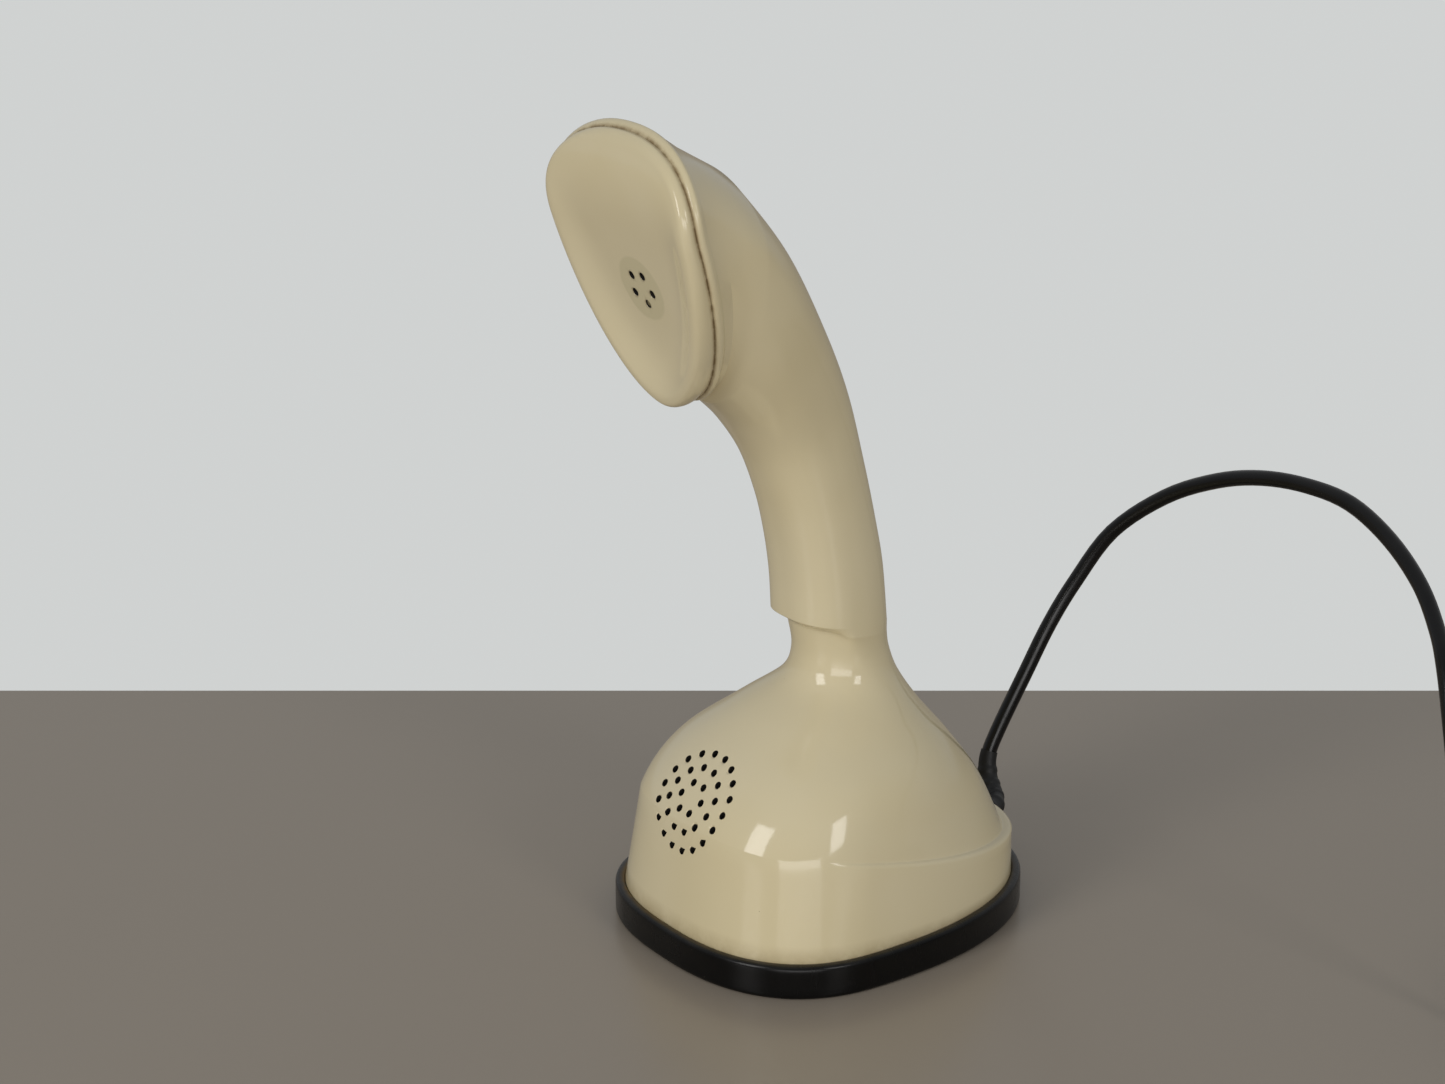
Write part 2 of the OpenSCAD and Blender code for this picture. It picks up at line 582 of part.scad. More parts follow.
// Involute spur gear with a tooth centred on +X
main_module = 0.8;
wheel_module = 0.5;
pinion_teeth = 12;
second_teeth = 36;
backlash = 0.15;
pressure = 20;
function involute(rb, r) = let(a = acos(min(1, rb / r))) tan(a) * 180 / PI - a;
function gear_outline(teeth, m) =
    let(rp = teeth * m / 2, rb = rp * cos(pressure), tip = rp + 0.8 * m, root = rp - 1.15 * m,
        half = 90 / teeth - backlash / 2 / rp * 180 / PI, low = max(rb, root),
        open = half + involute(rb, rp),
        flank = concat([[root, open - involute(rb, low)]],
            [for (k = [0 : 4]) let(r = low + (tip - low) * k / 4) [r, open - involute(rb, r)]]))
    [for (i = [0 : teeth - 1]) each concat(
        [for (f = flank) f[0] * [cos(360 * i / teeth - f[1]), sin(360 * i / teeth - f[1])]],
        [for (k = [len(flank) - 1 : -1 : 0]) let(f = flank[k])
            f[0] * [cos(360 * i / teeth + f[1]), sin(360 * i / teeth + f[1])]])];

pinion_dir = 90;
governor_dir = 20;
mesh_slack = 0.1;
pinion_at = (main_teeth + pinion_teeth) * main_module / 2 * [cos(pinion_dir), sin(pinion_dir)]
    + mesh_slack * [cos(pinion_dir), sin(pinion_dir)];
second_reach = (second_teeth + pinion_teeth) * wheel_module / 2 + mesh_slack;
governor_at = pinion_at + second_reach * [cos(governor_dir), sin(governor_dir)];
spindle_r = 1.2;
second_z = hub_top_z + 0.5;
second_t = 1.5;
cam_z = second_z + second_t + 0.4;
cam_t = 1.2;
cam_r = 3.8;
weight_r = 4.6;
drum_r = 5.6;

module main_gear() {
    color(brass) at_dial(gear_z) difference() {
        rotate([0, 0, pinion_dir]) linear_extrude(gear_t) polygon(gear_outline(main_teeth, main_module));
        translate([0, 0, -eps]) cylinder(h = gear_t + 2 * eps, r = hub_r, $fn = 96);
    }
}
module hub_clip() {
    color(steel) at_dial(gear_z + gear_t) ring_plate(hub_r + 1.6, hub_r + turn_fit, 0.9);
}
module return_spring() {
    turns = 4;
    inner = hub_r + 3.2;
    pitch = 1.2;
    strip = 0.5;
    steps = 24 * turns;
    color(steel) at_dial(dial_top_z) linear_extrude(bush_h - gap) polygon(concat(
        [for (i = [0 : steps]) let(a = 15 * i, r = inner + pitch * a / 360) r * [cos(a), sin(a)]],
        [for (i = [steps : -1 : 0])
            let(a = 15 * i, r = inner + pitch * a / 360 + strip) r * [cos(a), sin(a)]]));
}
module pinion_spindle() {
    color(brass) at_dial() translate([pinion_at.x, pinion_at.y, 0]) union() {
        translate([0, 0, works_z]) cylinder(h = bridge_z + bridge_t - works_z, r = spindle_r, $fn = 32);
        translate([0, 0, gear_z - 0.2]) rotate([0, 0, pinion_dir + 180 + 180 / pinion_teeth])
            linear_extrude(gear_t + 0.4) polygon(gear_outline(pinion_teeth, main_module));
        translate([0, 0, second_z]) rotate([0, 0, governor_dir])
            linear_extrude(second_t) polygon(gear_outline(second_teeth, wheel_module));
    }
}
module impulse_cam() {
    color(grey_plastic) at_dial(cam_z) translate([pinion_at.x, pinion_at.y, 0]) difference() {
        intersection() {
            cylinder(h = cam_t, r = cam_r, $fn = 48);
            rotate([0, 0, 15]) translate([-cam_r, -2.4, 0]) cube([2 * cam_r, 4.8, cam_t]);
        }
        translate([0, 0, -eps]) cylinder(h = 2 * cam_t, r = spindle_r, $fn = 32);
    }
}
module governor_spindle() {
    color(brass) at_dial() translate([governor_at.x, governor_at.y, 0]) union() {
        translate([0, 0, works_z]) cylinder(h = bridge_z + bridge_t - works_z, r = spindle_r, $fn = 32);
        translate([0, 0, second_z - 0.2]) rotate([0, 0, governor_dir + 180 + 180 / pinion_teeth])
            linear_extrude(second_t + 0.4) polygon(gear_outline(pinion_teeth, wheel_module));
    }
}
module governor_weights() {
    color(brass) at_dial(cam_z) translate([governor_at.x, governor_at.y, 0]) difference() {
        union() {
            translate([-weight_r, -0.6, 0]) cube([2 * weight_r, 1.2, cam_t]);
            cylinder(h = cam_t, r = spindle_r + 1, $fn = 32);
            for (s = [-1, 1]) translate([s * (weight_r - 1.1), 0, 0]) cylinder(h = cam_t, r = 1.1, $fn = 32);
        }
        translate([0, 0, -eps]) cylinder(h = 2 * cam_t, r = spindle_r, $fn = 32);
    }
}
module governor_drum() {
    color(steel) at_dial(cam_z) translate([governor_at.x, governor_at.y, 0])
        ring_plate(drum_r + 0.8, drum_r, bridge_z - cam_z);
}
bridge_post_r = 1.8;
bridge_posts = [[-13, pinion_at.y + 1], [governor_at.x + 7.4, governor_at.y - 7.2]];
module dial_bridge() {
    pad_r = 4;
    color(steel) at_dial() difference() {
        union() {
            translate([0, 0, bridge_z]) linear_extrude(bridge_t) union() {
                for (p = concat([pinion_at, governor_at], bridge_posts))
                    translate(p) circle(r = pad_r, $fn = 32);
                polygon([bridge_posts[0] + [0, -pad_r], bridge_posts[1] + [0, -pad_r],
                    bridge_posts[1] + [0, pad_r], governor_at + [0, pad_r], bridge_posts[0] + [0, pad_r]]);
            }
            for (p = bridge_posts) translate([p.x, p.y, dial_top_z])
                cylinder(h = bridge_z - dial_top_z + eps, r = bridge_post_r, $fn = 32);
        }
        for (p = [pinion_at, governor_at]) translate([p.x, p.y, bridge_z - eps])
            cylinder(h = 2 * bridge_t, r = spindle_r + turn_fit, $fn = 32);
    }
}
module pulse_contacts() {
    block_x = pinion_at.x - 20;
    blade_y = pinion_at.y - cam_r - 0.6;
    color(brown_board) at_dial() {
        translate([block_x, blade_y - 3.5, dial_top_z]) cube([5.5, 5, cam_z + cam_t - dial_top_z]);
        for (k = [0 : 2]) translate([block_x + 5, blade_y - 0.4 - 1.1 * k, cam_z])
            cube([17 - 2 * k, 0.4, cam_t]);
    }
}

// ---- Hook button ----
stem_r = 3;
button_h = 7;
stem_top = chassis_top + button_travel + 4.4;
spring_top = chassis_z;
module hook_button() {
    color(red) at_dial() {
        rotate_extrude($fn = 96)
            polygon([[0, 0], [button_r - 1.4, 0], [button_r, 1], [button_r, button_h], [0, button_h]]);
        cylinder(h = stem_top, r = stem_r, $fn = 48);
    }
}
module button_spring() {
    turns = 5;
    per_turn = 10;
    wire_r = 0.5;
    coil_r = stem_r + 2.4;
    steps = turns * per_turn;
    low = button_h + wire_r;
    rise = spring_top - wire_r - low;
    color(steel) at_dial() skin([for (i = [0 : steps])
        let(a = 360 * i / per_turn, c = [coil_r * cos(a), coil_r * sin(a), low + rise * i / steps])
        [for (k = [0 : 5]) let(b = 60 * k + 30)
            c + wire_r * [cos(b) * cos(a), cos(b) * sin(a), -sin(b)]]]);
}
module stem_clip() {
    color(steel) at_dial(chassis_top + button_travel + gap) ring_plate(stem_r + 2, stem_r, 1);
}
module hook_contacts() {
    block_h = stem_top + 4.4 - chassis_top;
    color(brown_board) at_dial(chassis_top) {
        translate([8, -4, 0]) cube([6, 8, block_h]);
        for (k = [0 : 1]) translate([-3.5 + 2 * k, -2, stem_top + 0.4 + 2 * k - chassis_top])
            cube([12, 4, 0.4]);
    }
}

// ---- Speech circuit ----
module transformer_core() {
    color(steel) place() translate([-26, 0, chassis_top]) difference() {
        cube([16, 8, 16]);
        for (x = [2.5, 10]) translate([x, -eps, 3]) cube([3.5, 9, 10]);
    }
}
module transformer_coil() {
    color(brass) place() translate([-26, 0, chassis_top]) difference() {
        translate([2.7, -3, 3.2]) cube([10.6, 14, 9.6]);
        translate([5.8, -0.2, 3]) cube([4.4, 8.4, 10]);
    }
}
module capacitor() {
    color(grey_plastic) place() translate([21.5, -5.5, chassis_top + 6.5]) rotate([-90, 0, 0])
        cylinder(h = 20, r = 6.5, $fn = 48);
}
terminal_y = 19;
terminal_pitch = 5.4;
module terminal_block() {
    color(brown_board) place() translate([0, terminal_y, chassis_top]) difference() {
        translate([-16, -4, 0]) cube([32, 5, 7]);
        for (i = [-2.5 : 2.5]) translate([i * terminal_pitch, -1.5, 3])
            cylinder(h = 5, r = small_screw_r, $fn = 24);
    }
}
module terminal_screws() {
    color(brass) place() for (i = [-2.5 : 2.5])
        translate([i * terminal_pitch, terminal_y - 1.5, chassis_top + 7]) screw(4, small_screw_r, 1.7);
}

// Round tube along a route of points; the ends are flat
tube_ref = [0.5, -0.85, 0.1];
function tube_ring(p, t, r, n) =
    let(a = cross(t, tube_ref), u = a / norm(a), w = cross(t / norm(t), u))
    [for (i = [0 : n - 1]) p + r * (cos(360 * i / n) * u + sin(360 * i / n) * w)];
function tube_rings(route, radii, from, to, count, n) =
    let(last = len(route) - 1, e = 0.05)
    [for (i = [0 : count])
        let(s = i / count, u = from + (to - from) * s)
        tube_ring(through(route, u), through(route, min(u + e, last)) - through(route, max(u - e, 0)),
            radii[0] + (radii[1] - radii[0]) * s, n)];

// Wires from the terminals up the neck to the receiver
function middle(s) = [0, (s[0] + s[2]) / 2, (s[1] + s[3]) / 2];
loom_r = 1.6;
loom_route = concat(
    [[0, terminal_y - 1.5, chassis_top + 7 + screw_head_h + 0.2], [0, terminal_y - 3, chassis_top + 16]],
    [for (u = [3 : 6]) middle(bell_at(u))], [for (u = [1 : 6]) middle(grip_at(u))],
    [mouth_point(0, ear_v, receiver_back - 7), mouth_point(0, ear_v, receiver_back - gap)]);
module wire_loom() {
    color(rubber) place() skin(tube_rings(loom_route, [loom_r, loom_r], 0, len(loom_route) - 1, 40, 8));
}

// ---- Cord ----
exit_y = base_depth / 2 - foot_ledge - 0.1;
relief_r = 3.6;
relief_end = 2;       // the cord's points inside the tapered relief
cord_route = [
    [0, exit_y + 1.6, cord_exit_z], [-1.6, exit_y + 6.2, cord_exit_z],
    [-5.4, exit_y + 9.6, cord_exit_z + 1.2], [-9.6, 66, 20], [-11.8, 67.6, 26], [-11.8, 71.4, 34], [-10.6, 80, 50], [-9.2, 87.3, 64], [-6, 94, 77],
    [1, 101.5, 93], [15, 108.5, 106], [30.5, 113.5, 114], [46, 116, 118.5], [62, 118, 120],
    [78, 118.5, 119], [94.5, 117, 113.5], [110, 113, 106], [122, 107.5, 98], [130, 102.5, 91],
    [138, 97.5, 79], [144, 95, 63], [148.5, 94, 46], [152.5, 93.5, 30], [157, 93.5, 16.5],
    [164, 93.5, 7], [172, 93.2, 2.6]
];
coil_at = [185, 123];
coil_mid_r = 5.5 * cord_d;
coil_half = 1.5 * cord_d;
module cord_grommet() {
    color(rubber) difference() {
        union() {
            place() translate([0, exit_y, cord_exit_z]) rotate([-90, 0, 0])
                cylinder(h = 1.6, r = grommet_r + 1.2, $fn = 32);
            place() translate([0, exit_y - wall - 2.4, cord_exit_z]) rotate([-90, 0, 0])
                cylinder(h = wall + 2.6, r = grommet_r - turn_fit, $fn = 32);
            place() translate([0, exit_y - wall - 2.4, cord_exit_z]) rotate([-90, 0, 0])
                cylinder(h = 1.4, r = grommet_r + 0.6, $fn = 32);
        }
        place() translate([0, exit_y - 10, cord_exit_z]) rotate([-90, 0, 0])
            cylinder(h = 20, r = cord_d / 2, $fn = 32);
    }
    color(rubber) place() skin(tube_rings(cord_route, [relief_r, cord_d / 2 + 0.4], 0, relief_end, 6, 12));
}
module cord_clamp() {
    color(steel) place() translate([0, exit_y - wall - 10, works_z]) difference() {
        translate([-6, -3, 0]) cube([12, 6, cord_exit_z - works_z + cord_d / 2 + 1.6]);
        translate([0, -4, cord_exit_z - works_z]) rotate([-90, 0, 0])
            cylinder(h = 8, r = cord_d / 2, $fn = 32);
    }
}
module cord_tube() {
    last = len(cord_route) - 1;
    color(rubber) place() skin(tube_rings(cord_route, [cord_d / 2, cord_d / 2], relief_end, last, 46, 8));
}
module cord_coil() {
    color(rubber) place() translate([coil_at.x, coil_at.y, 0]) rotate_extrude($fn = 96)
        translate([coil_mid_r - coil_half, 0]) square([2 * coil_half, 2 * coil_half]);
}
module coil_tie() {
    tie_w = 5;
    tie_t = 1;
    color(grey_plastic) place() translate([coil_at.x, coil_at.y, 0]) rotate([0, 0, 90]) difference() {
        translate([coil_mid_r - coil_half - tie_t, -tie_w / 2, 0])
            cube([2 * coil_half + 2 * tie_t, tie_w, 2 * coil_half + tie_t]);
        translate([coil_mid_r - coil_half - 0.1, -tie_w, -1])
            cube([2 * coil_half + 0.2, 2 * tie_w, 2 * coil_half + 1]);
    }
}
plug_w = 26;
plug_long = 30;
plug_h = 12;
plug_sleeve = 18;
module at_plug() {
    place() translate([coil_at.x + coil_mid_r + coil_half - cord_d / 2, coil_at.y + 3 * cord_d, 0])
        children();
}
module plug_body() {
    color(rubber) at_plug() {
        translate([0, 0, 4]) rotate([-90, 0, 0])
            cylinder(h = plug_sleeve + 1, r1 = cord_d / 2 + 0.5, r2 = 4, $fn = 32);
        translate([-plug_w / 2, plug_sleeve, 0]) cube([plug_w, plug_long, plug_h]);
    }
}
module plug_pins() {
    color(brass) at_plug() for (x = [-7.5, -2.5, 2.5, 7.5])
        translate([x, plug_sleeve + plug_long, plug_h / 2]) rotate([-90, 0, 0])
            cylinder(h = 14, r = 1.6, $fn = 24);
}

housing();
ear_cap();
cap_gasket();
receiver_capsule();
receiver_grid();
receiver_clamp();
receiver_screws();
mic_capsule();
mic_gasket();
mic_bracket();
mic_bracket_screws();
base_ring();
bottom_plate();
bottom_screws();
shell_screws();
chassis_plate();
finger_wheel();
number_plate();
dial_base();
dial_screws();
finger_stop();
finger_stop_screw();
main_gear();
hub_clip();
return_spring();
pinion_spindle();
impulse_cam();
governor_spindle();
governor_weights();
governor_drum();
dial_bridge();
pulse_contacts();
hook_button();
button_spring();
stem_clip();
hook_contacts();
transformer_core();
transformer_coil();
capacitor();
terminal_block();
terminal_screws();
wire_loom();
cord_grommet();
cord_clamp();
cord_tube();
cord_coil();
coil_tie();
plug_body();
plug_pins();
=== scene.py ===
"""Upright one-piece desk telephone: its moulded shell, ear cap, foot, dial, cord and finishes."""

import json
import math

import bpy
import numpy as np
from mathutils import Matrix, Vector
from mathutils.kdtree import KDTree

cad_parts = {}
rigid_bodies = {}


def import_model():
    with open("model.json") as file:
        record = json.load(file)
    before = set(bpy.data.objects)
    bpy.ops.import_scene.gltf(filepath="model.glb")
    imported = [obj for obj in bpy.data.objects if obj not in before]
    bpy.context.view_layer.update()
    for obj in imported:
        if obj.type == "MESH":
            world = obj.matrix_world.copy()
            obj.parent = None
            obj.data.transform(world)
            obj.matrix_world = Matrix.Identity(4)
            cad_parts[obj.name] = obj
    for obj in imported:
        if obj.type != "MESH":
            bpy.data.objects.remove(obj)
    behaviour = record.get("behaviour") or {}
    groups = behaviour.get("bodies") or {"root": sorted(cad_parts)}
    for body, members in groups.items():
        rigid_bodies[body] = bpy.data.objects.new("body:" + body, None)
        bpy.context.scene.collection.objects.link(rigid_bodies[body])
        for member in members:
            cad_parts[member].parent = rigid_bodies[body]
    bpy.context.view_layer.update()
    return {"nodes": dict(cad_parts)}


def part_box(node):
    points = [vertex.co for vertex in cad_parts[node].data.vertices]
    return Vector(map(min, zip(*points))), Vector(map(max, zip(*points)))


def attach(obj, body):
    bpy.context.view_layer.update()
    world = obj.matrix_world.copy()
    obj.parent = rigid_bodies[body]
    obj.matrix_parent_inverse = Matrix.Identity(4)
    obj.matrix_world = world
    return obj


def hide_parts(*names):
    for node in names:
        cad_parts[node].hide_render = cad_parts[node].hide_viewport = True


bl_info = {
    "name": "Upright Desk Telephone",
    "version": (1, 0, 0),
    "blender": (4, 5, 0),
    "location": "View3D > Sidebar > Telephone",
    "description": "Builds the shell, dial, cord and finishes of an upright desk telephone",
    "category": "Add Mesh",
}

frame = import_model()
NODES = frame["nodes"]
MM = 0.001

FOOT_LOW, FOOT_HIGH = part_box("base_ring")
BASE_Y = (FOOT_LOW.y + FOOT_HIGH.y) / 2 / MM       # middle of the foot, in millimetres
BASE_WIDTH = (FOOT_HIGH.x - FOOT_LOW.x) / MM
BASE_DEPTH = (FOOT_HIGH.y - FOOT_LOW.y) / MM
FOOT_HEIGHT = FOOT_HIGH.z / MM
DIAL_LOW, DIAL_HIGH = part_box("finger_wheel")
DIAL_AT = (DIAL_LOW + DIAL_HIGH) / 2
WHEEL_R = (DIAL_HIGH.x - DIAL_LOW.x) / 2

# ---- The shell's stations, in millimetres around the middle of the foot ----
# Front y, front z, rear y, rear z, half width, front and rear fullness, widest place
BELL_STATIONS = [
    (-54.1, 20.0, 52.2, 20.0, 45.5, 2.50, 2.25, 0.36),
    (-51.2, 38.0, 43.6, 38.0, 42.2, 2.40, 2.20, 0.38),
    (-42.0, 51.0, 34.2, 51.0, 37.0, 2.30, 2.10, 0.42),
    (-27.5, 62.0, 25.2, 62.0, 25.5, 2.15, 2.05, 0.46),
    (-13.8, 70.5, 19.4, 71.0, 16.5, 2.05, 2.00, 0.50),
    (-10.4, 78.5, 16.6, 78.5, 13.5, 2.00, 2.00, 0.50),
    (-12.0, 88.4, 15.6, 84.0, 13.5, 2.00, 2.00, 0.50),
]
GRIP_STATIONS = [
    (-15.9, 91.0, 15.2, 86.6, 14.8, 2.50, 2.20, 0.46),
    (-16.6, 102.0, 13.3, 104.0, 14.8, 2.50, 2.20, 0.46),
    (-18.6, 114.0, 10.4, 118.0, 14.8, 2.50, 2.15, 0.47),
    (-21.8, 125.5, 6.3, 134.5, 15.1, 2.40, 2.10, 0.48),
    (-27.0, 138.0, -0.6, 156.0, 16.6, 2.30, 2.15, 0.51),
    (-33.7, 148.0, -11.3, 176.4, 21.0, 2.20, 2.20, 0.56),
    (-40.0, 154.4, -27.2, 202.2, 26.5, 2.10, 2.00, 0.62),
    (-43.6, 157.2, -46.2, 223.4, 29.7, 2.00, 1.95, 0.68),
]
COLUMNS = 144
FOOT_WIDEST, FRONT_FULL, REAR_FULL = 0.36, 2.5, 2.25
FOOT_LEDGE = 2.6
PLATE_Z = 4.6
WALL = 2.8
SHELF_IN = 6.6
EXIT_Y = BASE_DEPTH / 2 - FOOT_LEDGE - 0.1
CORD_EXIT_Z = 15.0

# The mouth of the head, in which the ear cap sits
MOUTH_LOW = np.array([-48.5, 158.4])
MOUTH_TOP = np.array([-73.7, 228.8])
MOUTH_LONG = float(np.linalg.norm(MOUTH_TOP - MOUTH_LOW))
MOUTH_UP = (MOUTH_TOP - MOUTH_LOW) / MOUTH_LONG
MOUTH_OUT = np.array([-MOUTH_UP[1], MOUTH_UP[0]])
MOUTH_HALF, MOUTH_WIDEST = 32.5, 0.74
MOUTH_BOW, MOUTH_BOW_FROM = 8.4, 0.68
MOUTH_FULL = (1.85, 2.25)
LIP = 2.2
CAP_RISE, CAP_TILT_RISE = 2.9, 4.0
CAP_WALL, CAP_SEAM = 2.2, 0.1
CAP_RINGS = [(-0.35, 0.15, 0), (-0.15, 0.4, 0), (-0.4, 0.66, 0.05), (-1.0, 0.86, 0.15),
             (-1.9, 0.97, 0.25), (-3.0, 1.0, 0.35)]
DISH = [(0.06, 0.97), (0.14, 0.82), (0.28, 0.52), (0.48, 0.22), (0.75, 0.05), (1.0, 0.0)]
EAR_V = 0.453 * MOUTH_LONG
EAR_DISC_R, EAR_DISC_OUT = 9.0, 1.8
EAR_HOLE_R, EAR_HOLE_CIRCLE, EAR_HOLE_TURN = 1.15, 4.45, 278
MIC_HOLE_R, MIC_PITCH, MIC_U = 1.1, 4.6, 1.52
DIGITS = "1234567890"
FIRST_HOLE, FINGER_STEP = -60, 30

# ---- The cord's route from the shell to its coil, in millimetres around the foot's middle ----
CORD_ROUTE = [
    (0, EXIT_Y + 1.6, 15), (-1.6, EXIT_Y + 6.2, 15), (-5.4, EXIT_Y + 9.6, 16.2), (-9.6, 66, 20),
    (-11.8, 67.6, 26), (-11.8, 71.4, 34), (-10.6, 80, 50), (-9.2, 87.3, 64), (-6, 94, 77),
    (1, 101.5, 93), (15, 108.5, 106), (30.5, 113.5, 114), (46, 116, 118.5), (62, 118, 120),
    (78, 118.5, 119), (94.5, 117, 113.5), (110, 113, 106), (122, 107.5, 98), (130, 102.5, 91),
    (138, 97.5, 79), (144, 95, 63), (148.5, 94, 46), (152.5, 93.5, 30), (157, 93.5, 16.5),
    (164, 93.5, 7), (172, 93.2, 2.6),
]
COIL_AT = (185.0, 123.0)
# Where each turn lies in the coil, as steps of one cord out from the inmost turn and up from the table
TURNS = [(2, 0), (1, 0), (0, 0), (0, 1), (0, 2), (1, 2), (1, 1), (2, 1), (2, 2)]
COIL_INNER = 4.5                                   # middle of the inmost turn, in cord diameters
COIL_ENTRY, COIL_START = math.radians(-90), math.radians(-95)
COIL_CROSSING, COIL_STEP = math.radians(38), math.radians(6)
COIL_LEAD = (177.0, 93.45, 2.3)
# How the cord runs from the coil's last turn to the plug: how far on, and how far down
PLUG_LEAD = [(0, 0), (4, 0.3), (8, 1.3), (12, 2.9), (16, 4.8), (20, 6.2), (24, 7.0), (28, 7.2), (33.5, 7.25)]
ROUTE_STEP, TABLE_CLEARANCE = 0.2, 0.03
# At which turns the winding changes direction, so that the next crossing starts earlier
CORNERS = [0, 0, 1, 0, 1, 1, 1, 1]


# ---- Settings ----
class PhoneColours(bpy.types.PropertyGroup):
    ivory: bpy.props.FloatVectorProperty(
        name="Ivory", description="Aged ivory plastic of the shell and ear cap",
        default=(0.715, 0.632, 0.425), size=3, min=0, max=1, subtype="COLOR")
    rubber: bpy.props.FloatVectorProperty(
        name="Rubber", description="Black rubber of the foot", default=(0.0012, 0.0013, 0.0015),
        size=3, min=0, max=1, subtype="COLOR")
    cord: bpy.props.FloatVectorProperty(
        name="Cord", description="Sheath of the cord", default=(0.0016, 0.0017, 0.002),
        size=3, min=0, max=1, subtype="COLOR")
    wheel: bpy.props.FloatVectorProperty(
        name="Finger wheel", description="Moulding of the finger wheel", default=(0.62, 0.565, 0.40),
        size=3, min=0, max=1, subtype="COLOR")
    button: bpy.props.FloatVectorProperty(
        name="Hook button", description="Red plastic of the hook button", default=(0.47, 0.018, 0.014),
        size=3, min=0, max=1, subtype="COLOR")


class PhoneSizes(bpy.types.PropertyGroup):
    cord_length: bpy.props.FloatProperty(
        name="Cord length", description="Whole length of the cord", default=1.7, min=0.6, max=3,
        subtype="DISTANCE", unit="LENGTH")
    cord_diameter: bpy.props.FloatProperty(
        name="Cord diameter", description="Outside diameter of the cord", default=0.0045, min=0.003,
        max=0.006, subtype="DISTANCE", unit="LENGTH")
    hole_flare: bpy.props.FloatProperty(
        name="Hole flare", description="Rounding at the rim of each sound hole", default=0.00012,
        min=0, max=0.0003, subtype="DISTANCE", unit="LENGTH")
    edge_rounding: bpy.props.FloatProperty(
        name="Edge rounding", description="Rounding of the dial's moulded edges", default=0.0004,
        min=0.0001, max=0.001, subtype="DISTANCE", unit="LENGTH")
    numeral_height: bpy.props.FloatProperty(
        name="Numeral height", description="Height of the printed dial numerals", default=0.0056,
        min=0.003, max=0.008, subtype="DISTANCE", unit="LENGTH")


class StageSettings(bpy.types.PropertyGroup):
    lens: bpy.props.FloatProperty(
        name="Lens", description="Focal length of the camera in millimetres", default=79.72, min=20,
        max=200)
    window_power: bpy.props.FloatProperty(
        name="Window light", description="Power of the taller window light", default=13.0, min=0,
        max=50, unit="POWER")
    fill_power: bpy.props.FloatProperty(
        name="Fill light", description="Power of the large soft light", default=34.0, min=0, max=80,
        unit="POWER")
    floor_colour: bpy.props.FloatVectorProperty(
        name="Floor", description="Plain pale floor", default=(0.32, 0.275, 0.222), size=3, min=0,
        max=1, subtype="COLOR")
    wall_colour: bpy.props.FloatVectorProperty(
        name="Background", description="Plain pale background", default=(0.63, 0.645, 0.64), size=3,
        min=0, max=1, subtype="COLOR")


# ---- Hand tools ----
def deselect():
    if bpy.context.object and bpy.context.object.mode != "OBJECT":
        bpy.ops.object.mode_set(mode="OBJECT")
    for o in bpy.context.view_layer.objects:
        o.select_set(False)
    bpy.context.view_layer.objects.active = None


def pick(*pieces):
    """Selects only these pieces; the first is the active one."""
    deselect()
    for o in pieces:
        o.select_set(True)
    bpy.context.view_layer.objects.active = pieces[0]
    return pieces[0]


def named(name):
    piece = bpy.context.object
    piece.name = name
    piece.data.name = name
    return piece


def settle(piece):
    """Leaves a piece's object at the origin, with its place in its mesh."""
    pick(piece)
    bpy.ops.object.transform_apply(location=True, rotation=True, scale=True)
    return piece


def joined(name, pieces):
    pick(*pieces)
    if len(pieces) > 1:
        bpy.ops.object.join()
    return named(name)


def corners(piece):
    co = np.empty(len(piece.data.vertices) * 3)
    piece.data.vertices.foreach_get("co", co)
    return co.reshape(-1, 3)


def smooth(piece, degrees=30):
    pick(piece)
    bpy.ops.object.shade_smooth_by_angle(angle=math.radians(degrees))
    return piece


def clean(piece, outward=True, within=1e-7):
    """Merges doubled corners and turns every face outwards."""
    pick(piece)
    bpy.ops.object.mode_set(mode="EDIT")
    bpy.ops.mesh.select_all(action="SELECT")
    bpy.ops.mesh.remove_doubles(threshold=within)
    if outward:
        bpy.ops.mesh.normals_make_consistent(inside=False)
    bpy.ops.object.mode_set(mode="OBJECT")
    return piece


def with_modifier(piece, kind, **values):
    pick(piece)
    modifier = piece.modifiers.new(kind.title(), kind)
    for key, value in values.items():
        setattr(modifier, key, value)
    bpy.ops.object.modifier_apply(modifier=modifier.name)
    return piece


def rounded(piece, width, segments=3, degrees=30):
    return with_modifier(piece, "BEVEL", width=width, segments=segments, limit_method="ANGLE",
                         angle_limit=math.radians(degrees), harden_normals=False)


def cut(piece, cutter, operation="DIFFERENCE"):
    with_modifier(piece, "BOOLEAN", object=cutter, operation=operation, solver="EXACT")
    bpy.data.objects.remove(cutter)
    return piece


def cylinder(radius, low, high, at=(0, 0), sides=64, end_radius=None):
    """A cylinder or cone standing between two heights."""
    deselect()
    place = (at[0], at[1], (low + high) / 2)
    if end_radius is None:
        bpy.ops.mesh.primitive_cylinder_add(vertices=sides, radius=radius, depth=high - low,
                                            location=place)
    else:
        bpy.ops.mesh.primitive_cone_add(vertices=sides, radius1=radius, radius2=end_radius,
                                        depth=high - low, location=place)
    return settle(bpy.context.object)


def block(size, centre):
    deselect()
    bpy.ops.mesh.primitive_cube_add(size=1, location=centre)
    bpy.context.object.scale = size
    return settle(bpy.context.object)


def tube(outer, inner, low, high, at=(0, 0), sides=96):
    hole = cylinder(inner, low - 0.001, high + 0.001, at, sides)
    return cut(cylinder(outer, low, high, at, sides), hole)


